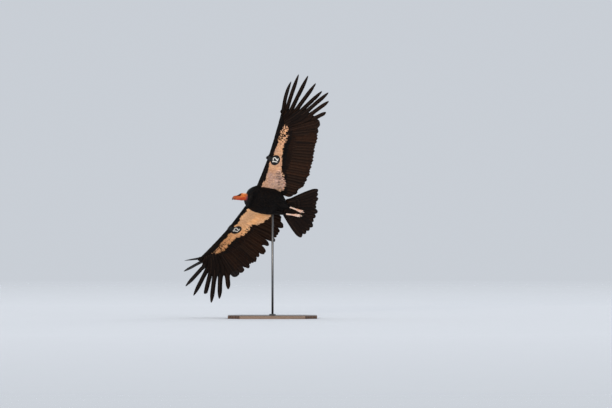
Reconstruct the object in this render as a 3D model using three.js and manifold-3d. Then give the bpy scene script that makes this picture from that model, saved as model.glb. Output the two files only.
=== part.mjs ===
// A California condor in banked flight, life size, on a plain display stand.
// Millimetres, +Z up, origin at the middle of the base's underside.
// The bird is modelled in its own axes, +X out of the breast, +Y to its left and +Z out
// of its back, and one group then turns and lifts it onto the rod.
import * as THREE from "three";
import Module from "manifold-3d";

const wasm = await Module();
wasm.setup();

// How the bird is held
const GAP = 0.3;
const HEADING = 212.8;
const NOSE_UP = 11.8;
const BANK = 55;
const BIRD_HEIGHT = 1220;
const ROD_TOP = new THREE.Vector3(-212, -8, -19);

// Stand
const BASE = { length: 900, width: 700, height: 30, corner: 120 };
const ROD_RADIUS = 11;
const COLLAR = { radius: 34, height: 14 };

// Trunk, as rows of x, half width, height of the widest line, top and bottom
const TORSO_FRONT = 75;
const TORSO_REAR = -350;
const WING_ROOT = 125;
const TORSO_ROWS = [
  [-350, 56, -8, 28, -62],
  [-300, 96, 0, 48, -80],
  [-260, 122, 8, 62, -95],
  [-215, 134, 14, 74, -113],
  [-150, 140, 20, 84, -131],
  [-70, 141, 22, 88, -137],
  [0, 134, 20, 84, -131],
  [40, 112, 10, 74, -118],
  [75, 84, -4, 58, -98],
];

// Wing, as rows of span, leading edge x and z, trailing edge x and z, depth of the fleshed
// arm behind the leading edge, and its thickness
const WING_ROWS = [
  [125, 30, 31, -440, 14, 300, 64],
  [300, 36, 60, -446, 8, 205, 52],
  [450, 46, 83, -424, 0, 155, 43],
  [600, 62, 112, -386, 2, 130, 36],
  [700, 73, 136, -360, 20, 124, 32],
  [800, 83, 163, -338, 44, 116, 26],
  [900, 95, 190, -318, 78, 92, 18],
  [960, 105, 201, -306, 103, 50, 9],
];
const WING_CAMBER = 0.035;
const ELBOW = { span: 300, sweep: 12 };
const WRIST = { span: 697, sweep: 22 };

// Secondaries: spans of the first and last root and tip, width and twist of a vane, and how much
// shorter worn ones are
const SECONDARIES = {
  count: 18, roots: [134, 690], tips: [132, 842], rootDepth: 0.62, width: 72, twist: 4.5, worn: 14,
};
// How far the first and the other secondaries pass the trailing edge of each wing, and the
// feather of the right wing that is still growing
const TRAILING_REACH = { left: [-20, 10], right: [-52, 42] };
const GROWING = { side: -1, index: 9, shorter: 62 };

// Primaries, inner to outer: where the vane leaves its neighbours and where it ends
const PRIMARIES = [
  { splay: [-290, 868, 76], tip: [-324, 905, 84] },
  { splay: [-268, 935, 88], tip: [-308, 980, 108] },
  { splay: [-235, 1000, 100], tip: [-287, 1118, 58] },
  { splay: [-164, 1023, 101], tip: [-243, 1248, 54] },
  { splay: [-102, 1034, 104], tip: [-200, 1328, 78] },
  { splay: [-50, 1019, 117], tip: [-152, 1302, 125] },
  { splay: [-5, 995, 135], tip: [-66, 1345, 173] },
  { splay: [34, 968, 151], tip: [-30, 1337, 312] },
  { splay: [60, 942, 180], tip: [-18, 1253, 459] },
  { splay: [74, 925, 203], tip: [8, 1143, 481] },
];
const PRIMARY = { roots: [712, 900], rootDepth: [0.6, 0.24], width: 78, finger: 54, twist: 7 };
// How far behind the left wing's each finger of the right wing ends, and the worn one's lost tip
const FINGERS_BACK = [0, 0, 18, 26, 26, 0, 0, -6, 4, -4];
const WORN_FINGER = { side: -1, index: 5, shorter: 34 };
// The right hand is spread a little wider and further forward than the left
const HAND_SPREAD = { inner: -9, outer: 34, reach: 10 };

// Greater coverts: width, where they end as a share of the chord, where they start as a share
// of the arm's depth, height over the flight feathers, twist, and how far those of the hand reach
const COVERTS = {
  width: 60, above: 0.6, below: 0.53, rootDepth: 0.74, clear: 8, twist: 4, onHand: [92, 60],
};

// Tail
const TAIL = {
  feathers: 12, length: 402, shorter: 40, fan: 34, roll: 15, height: -24, root: 26, width: 80,
  step: 2.7, rootAhead: 56,
};
// How much further the tail reaches across its fan, from its right edge to its left
const TAIL_REACH = [[-1, 48], [-0.5, 34], [0, 6], [0.5, -8], [1, 12]];
const TAIL_COVERTS = {
  count: 5, width: 66, fan: 24, rootAhead: -6, above: [5, 130], below: [-22, 160],
};

// Ruff: tiers of narrow feathers, each with its start and end along the neck, negative over the
// front of the trunk, and its height off the skin
const RUFF_TIERS = [
  { count: 12, from: 0.76, to: 0.06, lift: 8 },
  { count: 14, from: 0.42, to: -0.6, lift: 5 },
];

// Head, in its own axes from the back of the skull to the tip of the bill
const HEAD_PLACE = new THREE.Vector3(131, 30, -67);
const HEAD_TURN = -26;
const HEAD_NOD = 8;
const HEAD_ROLL = -39.5;
const HEAD_ROWS = [
  [0, 24, -2, 27, -32],
  [18, 29, 0, 36, -36],
  [42, 31, 2, 40, -37],
  [66, 29.5, 2, 37, -35],
  [86, 24, 0, 28, -31],
  [102, 18, -2, 22, -28],
  [118, 13.9, -3, 19.6, -25],
];
const BILL_START = 118;
const MOUTH = { from: 62, height: -8.5, width: 1.4, depth: 1.3 };
const EYE = { x: 66, y: 23.6, z: 11, radius: 6.4 };
const LID = { y: 27.6, radius: 7.4, tube: 1.9 };
const NOSTRIL = { x: 109, y: 16.6, z: 7, radius: 3 };
const EAR = { x: 28, y: 31, z: -4, radius: 3.6 };

// Legs, left one; the right is its mirror
const ANKLE = new THREE.Vector3(-334, 46, -98);
const FOOT = new THREE.Vector3(-450, 34, -97);

const FEATHER_BLACK = { color: 0x14110f, roughness: 0.75 };
const materials = {
  body: new THREE.MeshStandardMaterial(FEATHER_BLACK),
  wing: new THREE.MeshStandardMaterial({ color: 0x2a1d15, roughness: 0.7 }),
  skin: new THREE.MeshStandardMaterial({ color: 0xd9622b, roughness: 0.55 }),
  horn: new THREE.MeshStandardMaterial({ color: 0x4a3a30, roughness: 0.4 }),
  eye: new THREE.MeshStandardMaterial({ color: 0x5a1410, roughness: 0.1 }),
  leg: new THREE.MeshStandardMaterial({ color: 0xcfa792, roughness: 0.6 }),
  tag: new THREE.MeshStandardMaterial({ color: 0x101010, roughness: 0.5 }),
  board: new THREE.MeshStandardMaterial({ color: 0x3b2a20, roughness: 0.5 }),
  steel: new THREE.MeshStandardMaterial({ color: 0x1c1d1f, roughness: 0.35, metalness: 0.9 }),
};

const rad = THREE.MathUtils.degToRad;
const lerp = THREE.MathUtils.lerp;
const point = (x, y, z) => new THREE.Vector3(x, y, z);

// Rows read at any place between them, as a smooth curve through every row
function rowAt(rows, x) {
  const last = rows.length - 1;
  let i = 0;
  while (i < last - 1 && x > rows[i + 1][0]) i += 1;
  const step = rows[i + 1][0] - rows[i][0];
  const t = THREE.MathUtils.clamp((x - rows[i][0]) / step, 0, 1);
  const slope = (k, column) => {
    const before = rows[Math.max(k - 1, 0)];
    const after = rows[Math.min(k + 1, last)];
    return (after[column] - before[column]) / (after[0] - before[0]);
  };
  return rows[i].map((value, column) => {
    const next = rows[i + 1][column];
    const rise = slope(i, column) * step;
    const fall = slope(i + 1, column) * step;
    const a = 2 * value + rise - 2 * next + fall;
    const b = -3 * value - 2 * rise + 3 * next - fall;
    return ((a * t + b) * t + rise) * t + value;
  });
}

// A solid from points and triangles, turned so that its faces point out
function solid(points, faces) {
  let volume = 0;
  for (let i = 0; i < faces.length; i += 3) {
    const [a, b, c] = [points[faces[i]], points[faces[i + 1]], points[faces[i + 2]]];
    volume += a.dot(b.clone().cross(c));
  }
  const turned = volume < 0;
  const triVerts = new Uint32Array(faces.length);
  for (let i = 0; i < faces.length; i += 3) {
    triVerts[i] = faces[i];
    triVerts[i + 1] = turned ? faces[i + 2] : faces[i + 1];
    triVerts[i + 2] = turned ? faces[i + 1] : faces[i + 2];
  }
  const vertProperties = new Float32Array(points.flatMap((p) => [p.x, p.y, p.z]));
  return new wasm.Manifold(new wasm.Mesh({ numProp: 3, vertProperties, triVerts }));
}

// A closed solid through rings of equal count, with a fan over each end
function loft(rings) {
  const count = rings[0].length;
  const points = rings.flat();
  const faces = [];
  for (let i = 0; i + 1 < rings.length; i += 1) {
    for (let j = 0; j < count; j += 1) {
      const a = i * count + j;
      const b = i * count + ((j + 1) % count);
      faces.push(a, b, b + count, a, b + count, a + count);
    }
  }
  for (const [ring, start, flip] of [[rings[0], 0, true], [rings.at(-1), points.length - count, false]]) {
    const middle = ring.reduce((sum, p) => sum.add(p), point(0, 0, 0)).divideScalar(count);
    const centre = points.push(middle) - 1;
    for (let j = 0; j < count; j += 1) {
      const a = start + j;
      const b = start + ((j + 1) % count);
      faces.push(centre, flip ? b : a, flip ? a : b);
    }
  }
  return solid(points, faces);
}

// A thin plate on a grid of middle points, its two faces split into triangles alike
function sheet(grid, thickness) {
  const rows = grid.length;
  const columns = grid[0].length;
  const points = [];
  for (const side of [1, -1]) {
    grid.forEach((row, i) => row.forEach((p, j) => {
      const along = grid[Math.min(i + 1, rows - 1)][j].clone().sub(grid[Math.max(i - 1, 0)][j]);
      const across = row[Math.min(j + 1, columns - 1)].clone().sub(row[Math.max(j - 1, 0)]);
      const normal = along.cross(across).normalize();
      points.push(p.clone().addScaledVector(normal, side * thickness(i, j) / 2));
    }));
  }
  const half = rows * columns;
  const at = (i, j) => i * columns + j;
  const faces = [];
  for (let i = 0; i + 1 < rows; i += 1) {
    for (let j = 0; j + 1 < columns; j += 1) {
      const [a, b, c, d] = [at(i, j), at(i, j + 1), at(i + 1, j + 1), at(i + 1, j)];
      faces.push(a, b, c, a, c, d);
      faces.push(half + a, half + c, half + b, half + a, half + d, half + c);
    }
  }
  const rim = [];
  for (let j = 0; j + 1 < columns; j += 1) rim.push(at(0, j));
  for (let i = 0; i + 1 < rows; i += 1) rim.push(at(i, columns - 1));
  for (let j = columns - 1; j > 0; j -= 1) rim.push(at(rows - 1, j));
  for (let i = rows - 1; i > 0; i -= 1) rim.push(at(i, 0));
  rim.forEach((a, k) => {
    const b = rim[(k + 1) % rim.length];
    faces.push(b, a, half + a, b, half + a, half + b);
  });
  return solid(points, faces);
}

// A round tube of changing radius along a curve
function sweep(curve, radii, segments, sides) {
  const frames = curve.computeFrenetFrames(segments, false);
  const rings = [];
  for (let i = 0; i <= segments; i += 1) {
    const place = curve.getPointAt(i / segments);
    const [, radius] = rowAt(radii, i / segments);
    const ring = [];
    for (let j = 0; j < sides; j += 1) {
      const turn = (2 * Math.PI * j) / sides;
      ring.push(place.clone()
        .addScaledVector(frames.normals[i], radius * Math.cos(turn))
        .addScaledVector(frames.binormals[i], radius * Math.sin(turn)));
    }
    rings.push(ring);
  }
  return loft(rings);
}

// A three.js shape as a solid, moved by a matrix
function fromGeometry(geometry, matrix) {
  const source = geometry.index ? geometry.toNonIndexed() : geometry;
  const place = source.getAttribute("position");
  const index = new Map();
  const points = [];
  const faces = [];
  for (let i = 0; i < place.count; i += 1) {
    const p = new THREE.Vector3().fromBufferAttribute(place, i);
    const key = [p.x, p.y, p.z].map((n) => Math.round(n * 1e4)).join();
    if (!index.has(key)) index.set(key, points.push(p.applyMatrix4(matrix)) - 1);
    faces.push(index.get(key));
  }
  const kept = [];
  for (let i = 0; i < faces.length; i += 3) {
    const [a, b, c] = faces.slice(i, i + 3);
    if (a !== b && b !== c && c !== a) kept.push(a, b, c);
  }
  return solid(points, kept);
}

// A solid with all of it on the far side of a plane taken away, half a gap short of it
function trim(shape, place, away) {
  const reach = 4000;
  const turn = new THREE.Quaternion().setFromUnitVectors(point(1, 0, 0), away.clone().normalize());
  const middle = place.clone().addScaledVector(away.clone().normalize(), (reach - GAP) / 2);
  const matrix = new THREE.Matrix4().compose(middle, turn, point(1, 1, 1));
  return shape.subtract(fromGeometry(new THREE.BoxGeometry(reach, reach, reach), matrix));
}

// The largest closed surface of a solid as a named mesh
function piece(name, shape, material) {
  const parts = shape.decompose();
  const largest = parts.reduce((best, part) => (part.volume() > best.volume() ? part : best));
  const mesh = largest.simplify(0.02).getMesh();
  const geometry = new THREE.BufferGeometry();
  geometry.setAttribute("position", new THREE.BufferAttribute(mesh.vertProperties, 3));
  geometry.setIndex(new THREE.BufferAttribute(mesh.triVerts, 1));
  geometry.computeVertexNormals();
  const result = new THREE.Mesh(geometry, material);
  result.name = name;
  return result;
}

// An egg section: an upper and a lower half of different height, squarer than an ellipse
function eggPoint(row, turn, grow, squareness) {
  const [x, halfWidth, middle, top, bottom] = row;
  const bulge = (value) => Math.sign(value) * Math.abs(value) ** squareness;
  const [across, up] = [bulge(Math.cos(turn)), bulge(Math.sin(turn))];
  const reach = up > 0 ? top - middle : middle - bottom;
  return point(x, across * (halfWidth + grow), middle + up * (reach + grow));
}

function eggRing(row, sides, grow, squareness) {
  return [...Array(sides).keys()].map(
    (j) => eggPoint(row, (2 * Math.PI * j) / sides, grow, squareness));
}

// Trunk before it is cut; grow makes the same form a little larger, to cut neighbours with
const TORSO_SIDES = 20;
const TORSO_STEPS = 13;
const TORSO_SQUARENESS = 0.86;
function trunk(grow) {
  const rings = [];
  for (let i = 0; i <= TORSO_STEPS; i += 1) {
    const x = lerp(TORSO_REAR, TORSO_FRONT, i / TORSO_STEPS);
    rings.push(eggRing(rowAt(TORSO_ROWS, x), TORSO_SIDES, grow, TORSO_SQUARENESS));
  }
  return loft(rings);
}

// The rod's axis in the bird's own axes
const birdTurn = new THREE.Euler(rad(BANK), -rad(NOSE_UP), rad(HEADING), "ZYX");
const birdFrame = new THREE.Quaternion().setFromEuler(birdTurn);
const rodDown = point(0, 0, -1).applyQuaternion(birdFrame.clone().invert());

function rodSolid(radius) {
  const length = 600;
  const turn = new THREE.Quaternion().setFromUnitVectors(point(0, 1, 0), rodDown);
  const middle = ROD_TOP.clone().addScaledVector(rodDown, length / 2 - (radius - ROD_RADIUS));
  const matrix = new THREE.Matrix4().compose(middle, turn, point(1, 1, 1));
  return fromGeometry(new THREE.CylinderGeometry(radius, radius, length, 20), matrix);
}

function torso() {
  let shape = trunk(0);
  shape = trim(shape, point(0, WING_ROOT, 0), point(0, 1, 0));
  shape = trim(shape, point(0, -WING_ROOT, 0), point(0, -1, 0));
  return piece("torso", shape.subtract(rodSolid(ROD_RADIUS + GAP)), materials.body);
}

// Wing surface: middle of its thickness at a span and a distance behind the leading edge
function wingPlace(span, back) {
  const [, leadX, leadZ, trailX, trailZ] = rowAt(WING_ROWS, span);
  const chord = leadX - trailX;
  const c = back / chord;
  const camber = WING_CAMBER * chord * 4 * c * (1 - c);
  return point(leadX - back, span, lerp(leadZ, trailZ, c) + camber);
}

// Thickness of the arm along its depth: round in front, thin at the back
function armProfile(depth) {
  const thickest = 0.25;
  const rearShare = 0.24;
  if (depth < thickest) return Math.sqrt(1 - (1 - depth / thickest) ** 2);
  return lerp(1, rearShare, (depth - thickest) / (1 - thickest));
}

function armRing(span, grow) {
  const depths = [1, 0.72, 0.44, 0.2, 0.05];
  const row = rowAt(WING_ROWS, span);
  const [armDepth, thickness] = [row[5], row[6]];
  const skin = (depth, side) => {
    const p = wingPlace(span, depth * armDepth + (depth === 1 ? grow : 0));
    p.z += side * (thickness * armProfile(depth) / 2 + grow);
    return p;
  };
  const front = wingPlace(span, -grow);
  return [...depths.map((d) => skin(d, 1)), front, ...depths.map((d) => skin(d, -1)).reverse()];
}

function armLoft(from, to, grow) {
  const steps = Math.max(2, Math.round((to - from) / 60));
  const rings = [];
  for (let i = 0; i <= steps; i += 1) rings.push(armRing(lerp(from, to, i / steps), grow));
  return loft(rings);
}

// A curve that starts at root, passes through middle and ends at tip
function throughBend(root, middle, tip) {
  const before = middle.distanceTo(root);
  const t = before / (before + tip.distanceTo(middle));
  const bend = middle.clone().addScaledVector(root, -((1 - t) ** 2)).addScaledVector(tip, -(t ** 2))
    .multiplyScalar(1 / (2 * t * (1 - t)));
  return { curve: new THREE.QuadraticBezierCurve3(root, bend, tip), splay: t };
}

// A feather as a thin vane along its shaft. Each row gives the place along the shaft and the
// widths of the outer and inner web. The twist lifts the outer edge, so neighbours overlap.
function vane(curve, rows, twist, thickness, up) {
  const grid = rows.map(([t, outer, inner]) => {
    const place = curve.getPoint(t);
    const along = curve.getTangent(t);
    const across = along.clone().cross(up).normalize();
    const lift = across.clone().cross(along);
    const web = across.multiplyScalar(Math.cos(rad(twist))).addScaledVector(lift, Math.sin(rad(twist)));
    return [-inner, 0, outer].map((reach) => place.clone().addScaledVector(web, reach));
  });
  return sheet(grid, (i, j) => (j === 1 ? lerp(thickness, 1.2, rows[i][0]) : 0.8));
}

// A narrow covert: a strip of two edges with a rounded end
function covert(curve, width, twist, up) {
  const grid = [[0, 0.35], [0.78, 0.5], [1, 0.2]].map(([t, share]) => {
    const place = curve.getPoint(t);
    const along = curve.getTangent(t);
    const across = along.clone().cross(up).normalize();
    const lift = across.clone().cross(along);
    const web = across.multiplyScalar(Math.cos(rad(twist))).addScaledVector(lift, Math.sin(rad(twist)));
    return [-share, share].map((reach) => place.clone().addScaledVector(web, reach * width));
  });
  return sheet(grid, () => 1.2);
}

// Out of the back of the wing, which rises to its tip
const WING_UP = point(0, -0.12, 1).normalize();

// Repeatable random numbers from 0 to 1
function seededRandom(seed) {
  let state = seed;
  return () => {
    state = (state * 16807) % 2147483647;
    return state / 2147483647;
  };
}

function chordAt(span) {
  const row = rowAt(WING_ROWS, span);
  return row[1] - row[3];
}

function secondaries(side) {
  const random = seededRandom(side > 0 ? 11 : 47);
  return [...Array(SECONDARIES.count).keys()].map((k) => {
    const t = k / (SECONDARIES.count - 1);
    const rootSpan = lerp(...SECONDARIES.roots, t);
    const tipSpan = lerp(...SECONDARIES.tips, t) + 6 * (random() - 0.5);
    const rootDepth = rowAt(WING_ROWS, rootSpan)[5] * SECONDARIES.rootDepth;
    const reach = lerp(...(side > 0 ? TRAILING_REACH.left : TRAILING_REACH.right), Math.min(1, 6 * t));
    const growing = side === GROWING.side && k === GROWING.index ? GROWING.shorter : 0;
    const tipBack = chordAt(tipSpan) + reach - SECONDARIES.worn * random() - growing;
    const root = wingPlace(rootSpan, rootDepth);
    const tip = wingPlace(tipSpan, tipBack);
    const halfBack = (rootDepth + tipBack) / 2;
    const { curve } = throughBend(root, wingPlace((rootSpan + tipSpan) / 2, halfBack), tip);
    const rows = [[0, 0.5], [0.45, 1], [0.92, 0.94], [1, 0.34]]
      .map(([along, share]) => [along, 0.4 * SECONDARIES.width * share, 0.6 * SECONDARIES.width * share]);
    return { curve, rootSpan, shape: vane(curve, rows, SECONDARIES.twist, 3, WING_UP) };
  });
}

// The shaft of a primary: bent over the hand, then straight along the finger. The swing is how
// far back the finger's own line is followed, as a share of the part over the hand.
function fingerCurve(root, splay, tip, swing) {
  const inner = splay.distanceTo(root);
  const leaves = inner / (inner + tip.distanceTo(splay));
  const bend = splay.clone().addScaledVector(tip.clone().sub(splay).normalize(), -inner * swing);
  const hand = new THREE.QuadraticBezierCurve3(root, bend, splay);
  const finger = new THREE.LineCurve3(splay, tip);
  const part = (t) => (t < leaves ? [hand, t / leaves] : [finger, (t - leaves) / (1 - leaves)]);
  const curve = {
    getPoint: (t) => part(t)[0].getPoint(part(t)[1]),
    getTangent: (t) => part(t)[0].getTangent(part(t)[1]),
  };
  return { curve, leaves };
}

// A primary's width as shares: along its base up to where it leaves its neighbours, then along its
// finger. A worn finger ends broad
const BASE_WIDTHS = [[0, 0.4], [0.45, 1], [0.8, 1]];
const FINGER_WIDTHS = [[0.06, 1], [0.7, 0.88], [0.92, 0.56], [1, 0.11]];
const WORN_WIDTHS = [[0.06, 1], [0.7, 0.88], [0.92, 0.86], [1, 0.6]];
const LEADING_SHARE = 0.38;
const FINGER_SWING = { each: 0.1, most: 0.4 };

function primaries(side) {
  return PRIMARIES.map(({ splay, tip }, k) => {
    const t = k / (PRIMARIES.length - 1);
    const lean = -side * lerp(HAND_SPREAD.inner, HAND_SPREAD.outer, t);
    const span = lerp(...PRIMARY.roots, t);
    const root = wingPlace(span, rowAt(WING_ROWS, span)[5] * lerp(...PRIMARY.rootDepth, t));
    const inner = k < 2;
    const back = (inner && side < 0 ? TRAILING_REACH.right[1] : 0) + (side < 0 ? FINGERS_BACK[k] : 0);
    const start = point(...splay);
    const end = point(...tip).add(point(lean - back, -side * HAND_SPREAD.reach, 0));
    const worn = side === WORN_FINGER.side && k === WORN_FINGER.index;
    if (worn) end.addScaledVector(end.clone().sub(start).normalize(), -WORN_FINGER.shorter);
    const swing = Math.min(FINGER_SWING.most, FINGER_SWING.each * Math.max(0, k - 1));
    const { curve, leaves } = fingerCurve(root, start, end, swing);
    const finger = inner ? PRIMARY.width : PRIMARY.finger;
    const widths = [
      ...BASE_WIDTHS.map(([along, share]) => [leaves * along, PRIMARY.width * share]),
      ...(worn ? WORN_WIDTHS : FINGER_WIDTHS)
        .map(([along, share]) => [lerp(leaves, 1, along), finger * share]),
    ];
    const rows = widths
      .map(([along, width]) => [along, width * LEADING_SHARE, width * (1 - LEADING_SHARE)]);
    return { curve, rootSpan: span, shape: vane(curve, rows, PRIMARY.twist, 3.4, WING_UP) };
  });
}

// Greater coverts over (face 1) or under (face -1) the flight feathers
function coverts(face, spans, count, leanOut, lengths) {
  return [...Array(count).keys()].map((k) => {
    const t = count > 1 ? k / (count - 1) : 0.5;
    const rootSpan = lerp(...spans, t);
    const row = rowAt(WING_ROWS, rootSpan);
    const share = face > 0 ? COVERTS.above : COVERTS.below;
    const lean = lerp(...leanOut, t);
    const start = row[5] * COVERTS.rootDepth;
    const tipBack = lengths ? start + lerp(...lengths, t) : chordAt(rootSpan) * share;
    const reach = tipBack - start;
    const tipSpan = rootSpan + reach * lean;
    const root = wingPlace(rootSpan, start);
    const middle = wingPlace((rootSpan + tipSpan) / 2, start + reach / 2);
    const tip = wingPlace(tipSpan, tipBack);
    middle.z += face * (COVERTS.clear + 3);
    tip.z += face * COVERTS.clear;
    const { curve } = throughBend(root, middle, tip);
    return { curve, rootSpan, shape: covert(curve, COVERTS.width, COVERTS.twist, WING_UP) };
  });
}

// Mirrors a left-hand solid for the right wing or leg
function sided(shape, side) {
  return side > 0 ? shape : shape.mirror([0, 1, 0]);
}

function sweepBack(sweep) {
  return point(Math.sin(rad(sweep)), Math.cos(rad(sweep)), 0);
}

// The space that the wing's root leaves to the flank, back to where the trunk narrows
function besideTrunk() {
  const [front, rear, tall] = [200, -262, 400];
  const matrix = new THREE.Matrix4().setPosition((front + rear) / 2, WING_ROOT + GAP / 2 - 50, 0);
  return fromGeometry(new THREE.BoxGeometry(front - rear, 100, tall), matrix);
}

// One wing in its three lengths, with the feathers that grow from each
function wing(side, label) {
  const elbowAway = sweepBack(ELBOW.sweep);
  const wristAway = sweepBack(WRIST.sweep);
  const elbow = wingPlace(ELBOW.span, 0);
  const wrist = wingPlace(WRIST.span, 0);
  const armFeathers = [
    ...secondaries(side),
    ...coverts(1, [150, 675], 12, [0.14, 0.4]),
    ...coverts(-1, [150, 675], 12, [0.14, 0.4]),
  ];
  const handFeathers = [
    ...primaries(side),
    ...coverts(1, [715, 880], 5, [0.5, 1.3], COVERTS.onHand),
    ...coverts(-1, [715, 880], 5, [0.5, 1.3], COVERTS.onHand),
  ];
  const joined = (arm, feathers) => feathers.reduce((sum, feather) => sum.add(feather.shape), arm);
  const elbowRoot = ELBOW.span + 22;
  let upper = joined(
    armLoft(WING_ROOT, ELBOW.span + 40, 0), armFeathers.filter((f) => f.rootSpan < elbowRoot));
  upper = sided(trim(upper.subtract(besideTrunk()), elbow, elbowAway), side);
  let fore = joined(
    armLoft(ELBOW.span - 60, WRIST.span + 60, 0), armFeathers.filter((f) => f.rootSpan >= elbowRoot));
  fore = trim(trim(fore, elbow, elbowAway.clone().negate()), wrist, wristAway);
  let hand = joined(armLoft(WRIST.span - 80, WING_ROWS.at(-1)[0], 0), handFeathers);
  hand = trim(hand, wrist, wristAway.clone().negate());
  return [
    piece(`wing_${label}_upper_arm`, upper.subtract(trunk(GAP)), materials.wing),
    piece(`wing_${label}_forearm`, sided(fore, side), materials.wing),
    piece(`wing_${label}_hand`, sided(hand, side), materials.wing),
  ];
}

// A feather's middle line in the plane of the spread tail
function tailLine(angle, ahead, aside, height, length) {
  const start = point(ahead, aside, height);
  const end = point(-Math.cos(angle) * length, 0, height);
  end.y = aside * 0.4 + Math.sin(angle) * length + Math.max(0, ahead) * Math.tan(angle);
  const mid = point(TORSO_REAR, 0, TAIL.height);
  [start, end].forEach((p) => p.applyAxisAngle(point(1, 0, 0), rad(TAIL.roll)).add(mid));
  return new THREE.LineCurve3(start, end);
}

function tail() {
  const up = point(0, 0, 1).applyAxisAngle(point(1, 0, 0), rad(TAIL.roll));
  const random = seededRandom(29);
  let shape = loft([0, 40, 90, 150].map((back, i) => {
    const share = [1, 0.78, 0.5, 0.12][i];
    const [x, halfWidth, middle, top, bottom] = rowAt(TORSO_ROWS, TORSO_REAR);
    const z = TAIL.height;
    return eggRing([
      x - back, halfWidth * (0.4 + 0.6 * share), lerp(z, middle, share),
      lerp(z + 4, top, share), lerp(z - 4, bottom, share),
    ], TORSO_SIDES, 0, TORSO_SQUARENESS);
  }));
  for (let k = 0; k < TAIL.feathers; k += 1) {
    const across = (2 * k) / (TAIL.feathers - 1) - 1;
    const angle = rad(TAIL.fan * across + 1.6 * (random() - 0.5));
    const further = rowAt(TAIL_REACH, across)[1] - TAIL.shorter * across ** 2 - 10 * random();
    const length = TAIL.length + further;
    const height = -TAIL.step * Math.abs(k - TAIL.feathers / 2 + 0.4);
    const line = tailLine(angle, TAIL.rootAhead, TAIL.root * across, height, length);
    const rows = [[0, 0.4], [0.5, 0.9], [0.92, 0.94], [1, 0.4]]
      .map(([along, share]) => [along, (share * TAIL.width) / 2, (share * TAIL.width) / 2]);
    shape = shape.add(vane(line, rows, 0, 3, up));
  }
  for (const [height, length] of [TAIL_COVERTS.above, TAIL_COVERTS.below]) {
    for (let k = 0; k < TAIL_COVERTS.count; k += 1) {
      const across = (2 * k) / (TAIL_COVERTS.count - 1) - 1;
      const layer = height + Math.sign(height) * 2.2 * Math.abs(k - TAIL_COVERTS.count / 2 + 0.4);
      const line = tailLine(
        rad(TAIL_COVERTS.fan * across), TAIL_COVERTS.rootAhead, TAIL.root * across, layer, length);
      shape = shape.add(covert(line, TAIL_COVERTS.width, 0, up));
    }
  }
  shape = trim(shape, point(TORSO_REAR, 0, 0), point(1, 0, 0));
  return piece("tail", shape, materials.body);
}

const headTurn = new THREE.Euler(rad(HEAD_ROLL), -rad(HEAD_NOD), rad(HEAD_TURN), "ZYX");
const headMatrix = new THREE.Matrix4().compose(
  HEAD_PLACE, new THREE.Quaternion().setFromEuler(headTurn), point(1, 1, 1));

// Neck: share of the trunk's front section that is left at each place along it
const NECK_WIDTHS = [[0, 1], [0.2, 0.95], [0.42, 0.8], [0.6, 0.6], [0.74, 0.38], [0.86, 0.12], [1, 0]];
const neckStart = point(TORSO_FRONT, 0, -20);

// Skin of the neck, or of the front of the trunk where along is negative
function neckPlace(along, turn, lift) {
  if (along < 0) {
    return eggPoint(rowAt(TORSO_ROWS, TORSO_FRONT + 70 * along), turn, lift, TORSO_SQUARENESS);
  }
  const [, width] = rowAt(NECK_WIDTHS, along);
  const wide = eggPoint(rowAt(TORSO_ROWS, TORSO_FRONT), turn, lift, TORSO_SQUARENESS);
  const slim = eggPoint([-GAP, ...HEAD_ROWS[0].slice(1)], turn, lift, 1).applyMatrix4(headMatrix);
  return neckStart.clone().lerp(HEAD_PLACE, along)
    .addScaledVector(wide.sub(neckStart), width)
    .addScaledVector(slim.sub(HEAD_PLACE), 1 - width);
}

// One ruff feather, narrow and pointed, that lies back round the neck
function ruffFeather(tier, turn) {
  const rows = [[0, 0.34, -1], [0.55, 0.48, 0.8], [1, 0.08, 1]];
  const halfTurn = (0.94 * 2 * Math.PI) / tier.count;
  return sheet(rows.map(([t, share, rise]) => [-1, 1].map((edge) => {
    const along = lerp(tier.from, tier.to, t);
    return neckPlace(along, turn + edge * share * halfTurn, tier.lift * rise);
  })), () => 1.1);
}

function neck() {
  const rings = NECK_WIDTHS.map(([along]) => [...Array(TORSO_SIDES).keys()].map(
    (j) => neckPlace(along, (2 * Math.PI * j) / TORSO_SIDES, 0)));
  let shape = loft(rings);
  RUFF_TIERS.forEach((tier, row) => {
    for (let k = 0; k < tier.count; k += 1) {
      shape = shape.add(ruffFeather(tier, (2 * Math.PI * (k + row / 2)) / tier.count));
    }
  });
  return piece("neck", shape.subtract(trunk(GAP)), materials.body);
}

function ball(x, y, z, radius) {
  const matrix = new THREE.Matrix4().makeTranslation(x, y, z);
  return fromGeometry(new THREE.IcosahedronGeometry(radius, 1), matrix);
}

function head() {
  const skullForm = (grow) => loft([...Array(10).keys()].map(
    (i) => eggRing(rowAt(HEAD_ROWS, lerp(0, BILL_START, i / 9)), 20, grow, 0.94)));
  const slit = new THREE.BoxGeometry(100, 100, MOUTH.width);
  const slitPlace = new THREE.Matrix4().setPosition(MOUTH.from + 50, 0, MOUTH.height);
  const mouth = fromGeometry(slit, slitPlace).subtract(skullForm(-MOUTH.depth));
  let skull = skullForm(0).subtract(mouth);
  for (const side of [1, -1]) {
    const lid = new THREE.Matrix4().makeRotationX(rad(90)).setPosition(EYE.x, side * LID.y, EYE.z);
    skull = skull.add(fromGeometry(new THREE.TorusGeometry(LID.radius, LID.tube, 5, 12), lid))
      .subtract(ball(EYE.x, side * EYE.y, EYE.z, EYE.radius + GAP))
      .subtract(ball(NOSTRIL.x, side * NOSTRIL.y, NOSTRIL.z, NOSTRIL.radius))
      .subtract(ball(EAR.x, side * EAR.y, EAR.z, EAR.radius));
  }
  const nodes = [piece("head", skull, materials.skin)];
  for (const [side, label] of [[1, "left"], [-1, "right"]]) {
    const eye = ball(EYE.x, side * EYE.y, EYE.z, EYE.radius);
    nodes.push(piece(`eye_${label}`, eye, materials.eye));
  }
  return [...nodes, ...bill()];
}

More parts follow.
